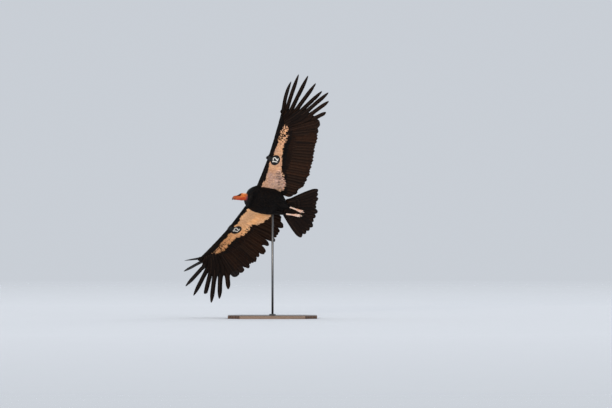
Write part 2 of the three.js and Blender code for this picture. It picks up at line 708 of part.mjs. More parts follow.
// Bill, as rows of x, half width, widest line, top and bottom
const UPPER_BILL_ROWS = [
  [118, 13.6, 2, 19.4, -8],
  [131, 12.8, 2, 19.8, -8.6],
  [144, 10.4, -1, 15.4, -11],
  [155, 7.2, -7.5, 5.5, -18],
  [163.5, 3, -17, -8.5, -24.6],
  [166.5, 0.9, -23, -21.5, -26.4],
];
const LOWER_BILL_ROWS = [
  [118, 12.4, -14, -9, -24.6],
  [131, 10.8, -15, -9.8, -24],
  [143, 7.4, -16.5, -12.4, -22.4],
  [150.5, 2.4, -19.4, -18, -21.4],
];
function bill() {
  const loftRows = (rows, steps) => {
    const [from, to] = [rows[0][0] + GAP, rows.at(-1)[0]];
    const rings = [];
    for (let i = 0; i <= steps; i += 1) {
      rings.push(eggRing(rowAt(rows, lerp(from, to, i / steps)), 14, 0, 0.95));
    }
    return loft(rings);
  };
  const upper = loftRows(UPPER_BILL_ROWS, 9);
  const lower = loftRows(LOWER_BILL_ROWS, 5).subtract(loft(upperClearance()));
  return [piece("bill_upper", upper, materials.horn), piece("bill_lower", lower, materials.horn)];
}

function upperClearance() {
  const rings = [];
  for (let i = 0; i <= 9; i += 1) {
    const row = rowAt(UPPER_BILL_ROWS, lerp(117, UPPER_BILL_ROWS.at(-1)[0], i / 9));
    rings.push(eggRing(row, 14, 2 * GAP, 0.95));
  }
  return rings;
}

function leg(side, label) {
  const along = FOOT.clone().sub(ANKLE).normalize();
  const thighCurve = new THREE.CatmullRomCurve3([
    point(-185, 56, -72), point(-225, 52, -90), point(-285, 48, -97),
    ANKLE.clone().addScaledVector(along, 8),
  ]);
  const drumstick = sweep(thighCurve, [[0, 36], [0.35, 31], [0.7, 20], [1, 11.5]], 6, 12);
  let thigh = sided(trim(drumstick, ANKLE, along), side);
  thigh = thigh.subtract(trunk(GAP)).subtract(rodSolid(ROD_RADIUS + 2));
  const shin = new THREE.LineCurve3(ANKLE.clone().addScaledVector(along, GAP), FOOT);
  const tarsus = sweep(shin, [[0, 10], [0.15, 8.4], [0.8, 7.6], [1, 9.5]], 4, 10);
  const nodes = [
    piece(`thigh_${label}`, thigh, materials.body),
    piece(`tarsus_${label}`, sided(tarsus, side), materials.leg),
  ];
  return [...nodes, ...foot(side, label, along)];
}

// Toes: name, spread to the side, length, thickness at the root, rise of the tip
const TOES = [
  ["inner", -10, 62, 6.4, 2],
  ["middle", -1, 84, 7, -1],
  ["outer", 9, 66, 6.2, 1],
  ["hind", -6, 26, 5.6, 16],
];
function foot(side, label, along) {
  const heel = FOOT.clone().addScaledVector(along, GAP);
  const lateral = point(0, 1, 0).addScaledVector(along, -along.y).normalize();
  const dorsal = along.clone().cross(lateral).multiplyScalar(-1).normalize();
  const pad = new THREE.CatmullRomCurve3([
    heel, heel.clone().addScaledVector(along, 10), heel.clone().addScaledVector(along, 22),
  ]);
  let shape = sweep(pad, [[0, 9.5], [0.5, 12.5], [1, 8]], 3, 8);
  const claws = [];
  for (const [toe, spread, length, thick, rise] of TOES) {
    const reach = (share, lift) => heel.clone().addScaledVector(along, 10 + length * share)
      .addScaledVector(lateral, spread * (0.45 + 0.9 * share))
      .addScaledVector(dorsal, rise * share + lift);
    const curve = new THREE.CatmullRomCurve3([reach(0, 0), reach(0.5, -2.5), reach(1, 0)]);
    shape = shape.add(sweep(curve, [[0, thick], [0.5, thick * 0.8], [1, thick * 0.62]], 4, 6));
    const tangent = curve.getTangentAt(1);
    const start = reach(1, 0).addScaledVector(tangent, GAP);
    const clawLength = 12 + length * 0.14;
    const clawCurve = new THREE.QuadraticBezierCurve3(
      start, start.clone().addScaledVector(tangent, clawLength * 0.6),
      start.clone().addScaledVector(tangent, clawLength).addScaledVector(dorsal, 7));
    const claw = sweep(clawCurve, [[0, thick * 0.55], [0.6, thick * 0.36], [1, 0.5]], 4, 6);
    claws.push(piece(`claw_${label}_${toe}`, sided(claw, side), materials.horn));
  }
  return [piece(`foot_${label}`, sided(shape, side), materials.leg), ...claws];
}

// Wing tag: a plate that follows the wing from its underside round the leading edge. The left
// one carries a small transmitter in front of the edge.
const TAG = { span: 440, back: 80, radius: 55, strap: 46, thickness: 2.4, clear: 0.5 };
const TRANSMITTER = { length: 34, depth: 16, height: 15, span: 436, ahead: 10 };
function tag(side, label) {
  const from = TAG.span - TAG.radius - 20;
  const to = TAG.span + TAG.radius + 20;
  const shell = armLoft(from, to, TAG.clear + TAG.thickness).subtract(armLoft(from - 9, to + 9, TAG.clear));
  const centre = wingPlace(TAG.span, TAG.back);
  const upright = (x, y) => new THREE.Matrix4().makeRotationX(rad(90)).setPosition(x, y, centre.z);
  const disc = fromGeometry(
    new THREE.CylinderGeometry(TAG.radius, TAG.radius, 200, 22), upright(centre.x, centre.y));
  const strapLength = 120;
  const strap = fromGeometry(
    new THREE.BoxGeometry(strapLength, 200, TAG.strap), upright(centre.x + strapLength / 2, centre.y));
  let shape = shell.intersect(disc.add(strap));
  if (side > 0) {
    const place = wingPlace(TRANSMITTER.span, -TRANSMITTER.ahead);
    const box = new THREE.BoxGeometry(TRANSMITTER.depth, TRANSMITTER.length, TRANSMITTER.height);
    const at = new THREE.Matrix4().setPosition(place);
    shape = shape.add(fromGeometry(box, at).subtract(armLoft(from - 9, to + 9, TAG.clear)));
  }
  return piece(`tag_${label}`, sided(shape, side), materials.tag);
}

function stand() {
  const [x, y, c] = [BASE.length / 2, BASE.width / 2, BASE.corner];
  const outline = new THREE.Shape([
    [x, y - c], [x - c, y], [c - x, y], [-x, y - c], [-x, c - y], [c - x, -y], [x - c, -y], [x, c - y],
  ].map(([a, b]) => new THREE.Vector2(a, b)));
  const board = new THREE.ExtrudeGeometry(outline, { depth: BASE.height, bevelEnabled: false });
  const base = fromGeometry(board, new THREE.Matrix4());
  const rodFoot = BASE.height + GAP;
  const rodLength = BIRD_HEIGHT + rodTopLift - rodFoot - GAP;
  const upright = new THREE.Matrix4().makeRotationX(rad(90)).setPosition(0, 0, rodFoot + rodLength / 2);
  const rod = fromGeometry(new THREE.CylinderGeometry(ROD_RADIUS, ROD_RADIUS, rodLength, 20), upright);
  const bore = ROD_RADIUS + GAP;
  const profile = [
    [bore, 0], [COLLAR.radius, 0], [COLLAR.radius, COLLAR.height * 0.6],
    [COLLAR.radius - 6, COLLAR.height], [bore, COLLAR.height], [bore, 0],
  ].map(([a, b]) => new THREE.Vector2(a, b));
  const onBoard = new THREE.Matrix4().makeRotationX(rad(90)).setPosition(0, 0, rodFoot);
  const collar = fromGeometry(new THREE.LatheGeometry(profile, 24), onBoard);
  return [
    piece("stand_base", base, materials.board),
    piece("stand_rod", rod, materials.steel),
    piece("stand_collar", collar, materials.steel),
  ];
}

// The rod's top stays over the origin, which places the bird
const rodTopTurned = ROD_TOP.clone().applyQuaternion(birdFrame);
const rodTopLift = rodTopTurned.z;

const headGroup = new THREE.Group();
headMatrix.decompose(headGroup.position, headGroup.quaternion, headGroup.scale);
headGroup.add(...head());

const bird = new THREE.Group();
bird.quaternion.copy(birdFrame);
bird.position.set(-rodTopTurned.x, -rodTopTurned.y, BIRD_HEIGHT);
bird.add(torso(), neck(), headGroup, tail());
for (const [side, label] of [[1, "left"], [-1, "right"]]) {
  bird.add(...wing(side, label), ...leg(side, label), tag(side, label));
}

const group = new THREE.Group();
group.add(bird, ...stand());

export default group;
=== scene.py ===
# A California condor in banked flight on its display stand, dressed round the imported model.
# Sizes are millimetres: the bird's in its own axes, +X out of the breast, +Y left, +Z out of the
# back, and the stand's upright. Every mesh is put into the world, in metres, as it is made.
import math

import bpy
import mathutils
import numpy as np
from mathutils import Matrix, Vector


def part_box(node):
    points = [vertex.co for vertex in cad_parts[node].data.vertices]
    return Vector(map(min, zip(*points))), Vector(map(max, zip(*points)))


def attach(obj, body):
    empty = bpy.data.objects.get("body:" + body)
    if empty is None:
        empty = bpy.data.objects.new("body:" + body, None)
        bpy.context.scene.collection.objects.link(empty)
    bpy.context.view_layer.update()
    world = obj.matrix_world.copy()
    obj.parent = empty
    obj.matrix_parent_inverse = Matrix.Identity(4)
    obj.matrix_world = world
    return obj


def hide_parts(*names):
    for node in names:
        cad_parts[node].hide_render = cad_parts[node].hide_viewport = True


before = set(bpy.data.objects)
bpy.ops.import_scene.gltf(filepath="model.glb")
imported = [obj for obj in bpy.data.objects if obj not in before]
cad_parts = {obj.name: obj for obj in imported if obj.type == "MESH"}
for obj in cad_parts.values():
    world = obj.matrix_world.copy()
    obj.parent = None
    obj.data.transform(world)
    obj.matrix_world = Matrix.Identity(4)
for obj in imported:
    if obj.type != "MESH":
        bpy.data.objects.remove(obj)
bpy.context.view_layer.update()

BODY = "root"
MM = 0.001

# How the bird is held
HEADING = 212.8
NOSE_UP = 11.8
BANK = 55
BIRD_HEIGHT = 1220
ROD_TOP = np.array([-212.0, -8, -19])

# Camera: level, looking along +Y, from a guessed distance that keeps its rays nearly parallel
CAMERA_DISTANCE = 60.0
FRAME_WIDTH = 6.182
AIM_ASIDE = 0.516
AIM_LIFT = -0.063
SENSOR = 36.0

# Trunk, as rows of x, half width, height of the widest line, top and bottom
TORSO_FRONT = 75
TORSO_REAR = -350
WING_ROOT = 125
TORSO_SQUARENESS = 0.86
TORSO_ROWS = [
    [-350, 56, -8, 28, -62],
    [-300, 96, 0, 48, -80],
    [-260, 122, 8, 62, -95],
    [-215, 134, 14, 74, -113],
    [-150, 140, 20, 84, -131],
    [-70, 141, 22, 88, -137],
    [0, 134, 20, 84, -131],
    [40, 112, 10, 74, -118],
    [75, 84, -4, 58, -98],
]
RUMP_ROWS = [[0, 1], [40, 0.78], [90, 0.5], [150, 0.12]]
NECK_LENGTH = 75
NECK_WIDTHS = [[0, 1], [0.2, 0.95], [0.42, 0.8], [0.6, 0.6], [0.74, 0.38], [0.86, 0.12], [1, 0]]
NECK_START = np.array([TORSO_FRONT, 0.0, -20])

# Head, in its own axes from the back of the skull to the root of the bill
HEAD_PLACE = np.array([131.0, 30, -67])
HEAD_TURN = -26
HEAD_NOD = 8
HEAD_ROLL = -39.5
HEAD_SQUARENESS = 0.94
BILL_START = 118
HEAD_ROWS = [
    [0, 24, -2, 27, -32],
    [18, 29, 0, 36, -36],
    [42, 31, 2, 40, -37],
    [66, 29.5, 2, 37, -35],
    [86, 24, 0, 28, -31],
    [102, 18, -2, 22, -28],
    [118, 13.9, -3, 19.6, -25],
]
EYE = {"x": 66, "y": 23.6, "z": 11, "radius": 6.4}
NOSTRIL = {"x": 109, "z": 7, "long": 5.2, "tall": 2.2, "deep": 2.6}
EAR = {"x": 28, "z": -4, "radius": 4.2, "deep": 3.0}
MOUTH = {"from": 60, "z": -8.5, "wide": 1.1, "deep": 1.5}

# Bill, as rows of x, half width, widest line, top and bottom
UPPER_BILL_ROWS = [
    [118, 13.6, 2, 19.4, -8],
    [131, 12.8, 2, 19.8, -8.6],
    [144, 10.4, -1, 15.4, -11],
    [155, 7.2, -7.5, 5.5, -18],
    [163.5, 3, -17, -8.5, -24.6],
    [166.5, 0.9, -23, -21.5, -26.4],
]
LOWER_BILL_ROWS = [
    [118, 12.4, -14, -8.8, -24.6],
    [131, 10.8, -14, -8.8, -24],
    [143, 7.4, -15.5, -10.6, -22.4],
    [150.5, 2.4, -18.6, -16.6, -21.4],
]

# Wing, as rows of span, leading edge x and z, trailing edge x and z, depth and thickness of the arm
WING_ROWS = [
    [125, 30, 31, -440, 14, 300, 64],
    [300, 36, 60, -446, 8, 205, 52],
    [450, 46, 83, -424, 0, 155, 43],
    [600, 62, 112, -386, 2, 130, 36],
    [700, 73, 136, -360, 20, 124, 32],
    [800, 83, 163, -338, 44, 116, 26],
    [900, 95, 190, -318, 78, 92, 18],
    [960, 105, 201, -306, 103, 50, 9],
]
WING_CAMBER = 0.035
WING_TIP = 960
THICKEST = 0.25
REAR_SHARE = 0.24

# Secondaries: spans of roots and tips, how far tips reach past the trailing edge and stray apart
SECONDARIES = {
    "count": 22, "roots": (134, 690), "tips": (132, 842), "root_depth": 0.62, "width": 72,
    "twist": 4.5, "worn": 14, "reach": 8, "parted": {1: 18, -1: 44},
}
TRAILING_REACH = {1: (-20, 10), -1: (-52, 42)}
# Two feathers of the right wing that are still growing
GROWING = {"side": -1, "index": 11, "shorter": 62}
# Where the right trailing edge stands open: span and half the width of each slit
SLITS = {"side": -1, "places": ((455, 24), (535, 12), (620, 22)), "fade": 55}

# Primaries, inner to outer: where the vane leaves its neighbours and where it ends
PRIMARIES = [
    [(-290, 868, 76), (-324, 905, 84)],
    [(-268, 935, 88), (-308, 980, 108)],
    [(-235, 1000, 100), (-287, 1118, 58)],
    [(-164, 1023, 101), (-243, 1248, 54)],
    [(-102, 1034, 104), (-200, 1328, 78)],
    [(-50, 1019, 117), (-152, 1302, 125)],
    [(-5, 995, 135), (-66, 1345, 173)],
    [(34, 968, 151), (-30, 1337, 312)],
    [(60, 942, 180), (-18, 1253, 459)],
    [(74, 925, 203), (8, 1143, 481)],
]
PRIMARY = {"roots": (712, 900), "root_depth": (0.6, 0.24), "width": 78, "wider": 14, "twist": 5}
# How far the right fingertips stand ahead and outward of the mean pair, and the left ones behind it
HAND_SPREAD = {"inner": -9, "outer": 34, "reach": 10}
# Fingers, inner to outer: how far each bows forward, and for each wing their width and set back
FINGERS = {
    "bow": (0, 0, 0, 2, 3, 3, 3, 4, 8, 24),
    "width": {1: 52, -1: 54},
    "back": {1: (0,) * 10, -1: (0, 0, 18, 26, 26, 0, 0, -6, 4, -4)},
}
BLUNT_FINGER = {"side": -1, "index": 5, "shorter": 34}

# Greater coverts over (1) and under (-1) the wing; a row is its spans, count and outward lean
COVERTS = {
    "width": 50.4, "reach": {1: 0.6, -1: 0.53}, "root_depth": 0.74, "clear": 8, "twist": 4,
    "black": {1: 1, -1: 0.6},
    "rows": (((142, 690), 26, (0.14, 0.4)), ((706, 890), 11, (0.45, 1.35))),
}

# Tail: its feathers shorten to the sides, and TAIL_REACH adds to them by their place across
TAIL = {
    "feathers": 12, "length": 402, "shorter": 40, "fan": 34, "roll": 15, "height": -24,
    "root": 26, "width": 80, "step": 2.7, "ahead": 56, "worn": 26,
}
TAIL_REACH = [[-1, 48], [-0.5, 34], [0, 6], [0.5, -8], [1, 12]]
# Tail coverts: a tier is its height, its side of the tail, its length, count and fan in degrees
TAIL_COVERTS = {
    "ahead": -6, "spread": 2.4, "width": 42,
    "tiers": ((5, 1, 130, 13, 32), (12, 1, 92, 11, 30), (-20, -1, 160, 15, 38), (-26, -1, 112, 13, 38)),
}

# Left leg, mirrored for the right: a toe is its name, spread, length, thickness and rise
ANKLE = np.array([-334.0, 46, -98])
FOOT = np.array([-450.0, 34, -97])
THIGH_PATH = [(-185, 56, -72), (-225, 52, -90), (-285, 48, -97)]
THIGH_RADII = [[0, 36], [0.35, 31], [0.7, 20], [1, 11.5]]
TARSUS_RADII = [[0, 10], [0.15, 8.4], [0.8, 7.6], [1, 9.5]]
TOES = [
    ["inner", -10, 62, 6.4, 2],
    ["middle", -1, 84, 7, -1],
    ["outer", 9, 66, 6.2, 1],
    ["hind", -6, 26, 5.6, 16],
]

TAG = {"span": 440, "back": 80, "radius": 55, "strap": 46, "lift": 2.35, "thick": 1.1}
DIGIT = {"tall": 31.0, "half": 4.8, "radius": 14.0}
TRANSMITTER = {
    "span": 436.0, "back": -10.0, "half": (7.5, 16.5, 7),
    "aerial": ((-4, 14, 6), (-30, 40, 30), (-95, 62, 26)),
}
ROD_RADIUS = 11
COLLAR = {"radius": 34, "height": 14}
BASE = {"length": 900, "width": 700, "height": 30, "corner": 120, "ease": 3.0}

# Depth of the coat of small feathers over the skin
COAT = 9.0
ARM_COAT = 5.0

# Small feathers: how far apart their rings or rows stand, how far one stands beside the next, and
# their lengths and widths, from the first to the last place where the two ends differ
TRUNK_COAT = {"first": 26, "last": 104, "apart": 10.5, "beside": 11.5, "length": (56, 32), "width": 22}
THIGH_COAT = {"first": 0.06, "last": 0.93, "apart": 0.05, "beside": 8, "length": (58, 26), "width": 15}
WING_COAT = {
    "first": 2.5, "last": 300, "apart": (5.0, 10.0), "beside": (6.5, 10.5), "length": (15, 46),
    "width": (11, 23), "lean": (8, 30),
}
BRISTLES = {
    "count": 900, "first": 62, "over": 50, "middle": 90, "reach": 17, "off_eye": 11.5,
    "off_nostril": 6.5,
}
# A tier of the ruff, from the head back: place along the neck, length, width and how far it stands out
RUFF = {
    "beside": 6.5,
    "tiers": (
        (168, 36, 6, 1.0), (161, 38, 6, 1.2), (153, 40, 7, 1.6), (145, 42, 8, 2.0), (137, 44, 9, 2.5),
        (131, 52, 10, 4.5), (124, 60, 11, 6), (116, 64, 12, 7), (107, 66, 12, 6.5), (98, 66, 13, 5.5),
        (88, 62, 14, 4.5), (78, 58, 15, 3.0),
    ),
}
# A tier of the axillaries: share of the arm's depth where it starts, greatest length and count
AXILLARIES = {
    "spans": (118, 330), "width": 32, "shortest": 30,
    "tiers": ((0.56, 110.4, 17), (0.68, 100.8, 16), (0.82, 91.2, 15)),
}
# Pale lining of each wing, as rows of span, front edge and rear edge
LINING_ROWS = {
    1: [[120, 28, 284], [174, 38, 282], [231, 44, 262], [276, 38, 226], [387, 24, 164], [504, 30, 124],
        [585, 44, 110], [669, 36, 120], [768, 46, 104], [837, 48, 78], [890, 50, 46]],
    -1: [[120, 28, 306], [165, 28, 304], [264, 24, 304], [294, 26, 276], [314, 28, 196], [390, 26, 192],
         [453, 34, 178], [513, 40, 152], [564, 42, 124], [639, 40, 122], [738, 54, 124], [789, 50, 112],
         [876, 48, 50]],
}

# Small steps along the skin's two directions, for finding which way it faces
TRUNK_STEP = (2.0, 0.02)
WING_STEP = (2.0, 1.0)

SIDES = {1: "left", -1: "right"}


# Small helpers

def unit(vectors):
    size = np.linalg.norm(vectors, axis=-1, keepdims=True)
    return vectors / np.maximum(size, 1e-9)


def lerp(a, b, t):
    return a + (b - a) * t


def smooth(value, low, high):
    t = np.clip((value - low) / (high - low), 0, 1)
    return t * t * (3 - 2 * t)


def together(*values):
    """Numbers and arrays, spread to one shape."""
    return np.broadcast_arrays(*(np.asarray(v, float) for v in values))


def circle(count):
    """Angles spaced evenly round a full turn."""
    return np.linspace(0, 2 * np.pi, count, endpoint=False)


def jitter(random, shape, size):
    """Random offsets that spread over size, half of it either way."""
    return size * (random.random(shape) - 0.5)


def vary(random, shape, spread):
    """Random factors round 1."""
    return 1 + jitter(random, shape, spread)


def hump(value, middle, width):
    """1 at the middle, fading away over the width to both sides."""
    return np.exp(-((value - middle) / width) ** 2)


def rows_at(rows, x):
    """Rows read at any places between them, as a smooth curve through every row."""
    rows = np.asarray(rows, float)
    x = np.asarray(x, float)
    i = np.clip(np.searchsorted(rows[:, 0], x, side="left") - 1, 0, len(rows) - 2)
    step = rows[i + 1, 0] - rows[i, 0]
    t = np.clip((x - rows[i, 0]) / step, 0, 1)[..., None]
    before = rows[np.maximum(np.arange(len(rows)) - 1, 0)]
    after = rows[np.minimum(np.arange(len(rows)) + 1, len(rows) - 1)]
    slope = (after - before) / (after[:, :1] - before[:, :1])
    value, following = rows[i], rows[i + 1]
    rise, fall = slope[i] * step[..., None], slope[i + 1] * step[..., None]
    a = 2 * value + rise - 2 * following + fall
    b = -3 * value - 2 * rise + 3 * following - fall
    return ((a * t + b) * t + rise) * t + value


def turn_matrix(heading, nod, roll):
    """Turns by roll about X, then by minus nod about Y, then by heading about Z."""
    z, y, x = np.radians([heading, -nod, roll])
    about_x = np.array([[1, 0, 0], [0, np.cos(x), -np.sin(x)], [0, np.sin(x), np.cos(x)]])
    about_y = np.array([[np.cos(y), 0, np.sin(y)], [0, 1, 0], [-np.sin(y), 0, np.cos(y)]])
    about_z = np.array([[np.cos(z), -np.sin(z), 0], [np.sin(z), np.cos(z), 0], [0, 0, 1]])
    return about_z @ about_y @ about_x


BIRD_TURN = turn_matrix(HEADING, NOSE_UP, BANK)
BIRD_PLACE = np.array([0, 0, BIRD_HEIGHT]) - (BIRD_TURN @ ROD_TOP) * (1, 1, 0)
HEAD_FRAME = turn_matrix(HEAD_TURN, HEAD_NOD, HEAD_ROLL)
TAIL_ROLL = turn_matrix(0, 0, TAIL["roll"])

# Large odd numbers that scramble the lattice places of the noise
SCRAMBLE = (374761393, 668265263, 2147483629)
SCRAMBLE_SEED = 977
SCRAMBLE_AGAIN = 1274126177


def to_world(points):
    return (points @ BIRD_TURN.T + BIRD_PLACE) * MM


def from_head(points):
    return points @ HEAD_FRAME.T + HEAD_PLACE


def value_noise(points, scale, seed=0):
    """Smooth noise from -1 to 1 at these points, from random values on a lattice of that size."""
    p = points / scale
    cell = np.floor(p).astype(np.int64)
    f = p - cell
    f = f * f * (3 - 2 * f)
    total = 0
    for corner in range(8):
        step = np.array([corner & 1, (corner >> 1) & 1, corner >> 2])
        mixed = ((cell + step) * SCRAMBLE).sum(-1) + seed * SCRAMBLE_SEED
        mixed = (mixed ^ (mixed >> 13)) * SCRAMBLE_AGAIN
        value = ((mixed ^ (mixed >> 16)) & 0xFFFF) / 32767.5 - 1
        weight = np.where(step, f, 1 - f).prod(-1)
        total = total + value * weight
    return total


# Meshes

def signed_volume(points, faces):
    total = 0.0
    for group in faces:
        first = points[group[:, 0]]
        for k in range(1, group.shape[1] - 1):
            total += (first * np.cross(points[group[:, k]], points[group[:, k + 1]])).sum()
    return total


class Parts:
    """Gathers points, faces and marks of many closed shapes that become one mesh piece."""

    def __init__(self):
        self.points = []
        self.faces = {}
        self.marks = {}
        self.uv = []
        self.count = 0
        self.placed = 0

    def add(self, points, faces, marks=None, uv=None):
        turned = signed_volume(points - points.mean(0), faces) < 0
        for group in faces:
            group = group[:, ::-1] if turned else group
            self.faces.setdefault(group.shape[1], []).append(group + self.count)
        self.points.append(points)
        for key, values in (marks or {}).items():
            self.marks.setdefault(key, []).append(values)
        if uv is not None:
            self.uv.append(uv)
        self.count += len(points)

    def mesh(self, name, material, upright=False, smooth_faces=True):
        """An object in metres. Points are in the bird's own axes unless they are upright ones. On
        the baking map, large feathers share the width in strips of one size."""
        points = np.concatenate(self.points)
        points = points * MM if upright else to_world(points)
        faces = [np.concatenate(group) for group in self.faces.values()]
        loops = np.concatenate([group.ravel() for group in faces])
        sizes = np.concatenate([np.full(len(group), group.shape[1]) for group in faces])
        mesh = bpy.data.meshes.new(name)
        mesh.vertices.add(self.count)
        mesh.vertices.foreach_set("co", points.astype(np.float32).ravel())
        mesh.loops.add(len(loops))
        mesh.loops.foreach_set("vertex_index", loops.astype(np.int32))
        mesh.polygons.add(len(sizes))
        mesh.polygons.foreach_set("loop_start", (np.cumsum(sizes) - sizes).astype(np.int32))
        mesh.polygons.foreach_set("use_smooth", np.full(len(sizes), smooth_faces))
        for key, values in self.marks.items():
            layer = mesh.attributes.new(key, "FLOAT_VECTOR", "POINT")
            layer.data.foreach_set("vector", np.concatenate(values).astype(np.float32).ravel())
        if self.uv:
            layer = mesh.uv_layers.new(name="OFBake")
            uv = np.concatenate(self.uv)[loops] / (max(self.placed, 1), 1)
            layer.uv.foreach_set("vector", uv.astype(np.float32).ravel())
        mesh.update(calc_edges=True)
        mesh.materials.append(material)
        piece = bpy.data.objects.new(name, mesh)
        bpy.context.scene.collection.objects.link(piece)
        return piece

    def piece(self, name, material, slot, nodes=(), upright=False, smooth_faces=True):
        """A piece that rides on the body and stands for these nodes; the slot is not used."""
        piece = self.mesh(name, material, upright, smooth_faces)
        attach(piece, BODY)
        if nodes:
            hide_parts(*nodes)


def grid_faces(rows, columns, closed=True, ring=False):
    """Quads over a grid of points. The last column joins the first if closed, the last row if ring."""
    i = np.arange(rows if ring else rows - 1)
    j = np.arange(columns if closed else columns - 1)
    i, j = (v.ravel() for v in np.meshgrid(i, j, indexing="ij"))
    after, beyond = (j + 1) % columns, (i + 1) % rows * columns
    return np.stack([i * columns + j, i * columns + after, beyond + after, beyond + j], 1)


def tube(rings):
    """Points and faces of a closed tube through rings of equal count, capped by one face each."""
    rows, columns = rings.shape[:2]
    ends = np.stack([np.arange(columns)[::-1], (rows - 1) * columns + np.arange(columns)])
    return rings.reshape(-1, 3), [grid_faces(rows, columns), ends]


SHAFT_WIDTH = 2.2


def leaves(spine, normal, left, right, cup, thick, columns, twist=0.0, ridge=0.0):
    """Closed feathers. spine and normal are (feathers, rows, 3), left and right the widths of the
    webs and thick the thickness, (feathers, rows); cup lowers the edges and ridge raises the shaft."""
    count, rows = spine.shape[:2]
    along = unit(np.gradient(spine, axis=1))
    across = unit(np.cross(along, normal))
    up = np.cross(across, along)
    angle = np.radians(np.broadcast_to(np.asarray(twist, float), (count,)))[:, None, None]
    across, up = across * np.cos(angle) + up * np.sin(angle), up * np.cos(angle) - across * np.sin(angle)
    c = np.linspace(-1, 1, columns)
    ring = np.concatenate([c, c[-2:0:-1]])
    side = np.concatenate([[0], np.ones(columns - 2), [0], -np.ones(columns - 2)])
    reach = np.where(ring < 0, left[..., None], right[..., None]) * ring
    shaft = hump(reach, 0, SHAFT_WIDTH)
    height = -cup * np.abs(reach) * np.abs(ring) + side * (thick[..., None] / 2 + ridge * shaft)
    points = spine[:, :, None] + across[:, :, None] * reach[..., None] + up[:, :, None] * height[..., None]
    size = len(ring)
    caps = np.stack([np.arange(size)[::-1], (rows - 1) * size + np.arange(size)])
    offset = (np.arange(count) * rows * size)[:, None, None]
    faces = [(grid_faces(rows, size) + offset).reshape(-1, 4), (caps + offset).reshape(-1, size)]
    step = np.linalg.norm(np.diff(spine, axis=1), axis=-1)
    distance = np.concatenate([np.zeros((count, 1)), np.cumsum(step, axis=1)], axis=1)[..., None]
    share = distance / distance[:, -1:]
    vane = np.stack([reach * MM, distance * MM + 0 * reach, share + 0 * reach], -1)
    return points.reshape(-1, 3), faces, vane.reshape(-1, 3)


# Surfaces of the body

REAR_END = TORSO_REAR - RUMP_ROWS[-1][0]
HEAD_U = TORSO_FRONT + NECK_LENGTH
BILL_U = HEAD_U + BILL_START


def egg(row, turn, grow, square):
    """An egg section: an upper and a lower half of different height, squarer than an ellipse."""
    c, s = np.cos(turn), np.sin(turn)
    across = np.sign(c) * np.abs(c) ** square
    up = np.sign(s) * np.abs(s) ** square
    reach = np.where(up > 0, row[..., 3] - row[..., 2], row[..., 2] - row[..., 4])
    y = across * (row[..., 1] + grow)
    return np.stack([row[..., 0] + 0 * y, y, row[..., 2] + up * (reach + grow)], -1)


def trunk_place(u, turn, lift):
    """Skin from the rump through the trunk and neck to the root of the bill. u is x in the trunk,
    and goes on forward as the length along the neck and then the head."""
    u, turn, lift = together(u, turn, lift)
    row = rows_at(TORSO_ROWS, np.clip(u, TORSO_REAR, TORSO_FRONT))
    back = np.clip(TORSO_REAR - u, 0, RUMP_ROWS[-1][0])
    share = rows_at(RUMP_ROWS, back)[..., 1]
    middle = TAIL["height"]
    rear = np.stack([
        row[..., 0] - back, row[..., 1] * (0.4 + 0.6 * share), lerp(middle, row[..., 2], share),
        lerp(middle + 4, row[..., 3], share), lerp(middle - 4, row[..., 4], share),
    ], -1)
    trunk = egg(rear, turn, lift, TORSO_SQUARENESS)
    along = np.clip((u - TORSO_FRONT) / NECK_LENGTH, 0, 1)
    width = rows_at(NECK_WIDTHS, along)[..., 1:2]
    wide = egg(np.array(TORSO_ROWS[-1], float), turn, lift, TORSO_SQUARENESS)
    slim = from_head(egg(np.array(HEAD_ROWS[0], float), turn, lift, HEAD_SQUARENESS))
    centre = lerp(NECK_START, HEAD_PLACE, along[..., None])
    neck = centre + (wide - NECK_START) * width + (slim - HEAD_PLACE) * (1 - width)
    head = from_head(egg(rows_at(HEAD_ROWS, np.clip(u - HEAD_U, 0, BILL_START)), turn, lift, HEAD_SQUARENESS))
    u = u[..., None]
    return np.where(u > HEAD_U, head, np.where(u > TORSO_FRONT, neck, trunk))


def coat_depth(u):
    """How deep the skin of the trunk lies under the feathers; the head and upper neck are bare."""
    return COAT * (1 - smooth(np.asarray(u, float), 84, 128))


def wing_place(span, back):
    """Middle of the wing's thickness at a span and a distance behind the leading edge."""
    row = rows_at(WING_ROWS, span)
    chord = row[..., 1] - row[..., 3]
    c = back / chord
    camber = WING_CAMBER * chord * 4 * c * (1 - c)
    return np.stack([row[..., 1] - back, span + 0 * c, lerp(row[..., 2], row[..., 4], c) + camber], -1)


def chord_at(span):
    row = rows_at(WING_ROWS, span)
    return row[..., 1] - row[..., 3]


def arm_half(span, back):
    """Half the thickness of the arm and of what covers the feathers' roots behind it."""
    row = rows_at(WING_ROWS, span)
    depth = np.clip(back / row[..., 5], 0, 1.5)
    front = np.sqrt(np.clip(1 - (1 - np.minimum(depth, THICKEST) / THICKEST) ** 2, 0, 1))
    rear = lerp(1, REAR_SHARE, (depth - THICKEST) / (1 - THICKEST))
    behind = np.maximum(rear, 0.12)
    return row[..., 6] / 2 * np.where(depth < THICKEST, front, np.minimum(behind, 1))


def arm_place(face):
    """The upper (face 1) or lower (face -1) surface of the wing's arm."""
    def place(span, back, lift):
        span, back, lift = together(span, back, lift)
        p = wing_place(span, back)
        p[..., 2] += face * (arm_half(span, back) + lift)
        return p
    return place


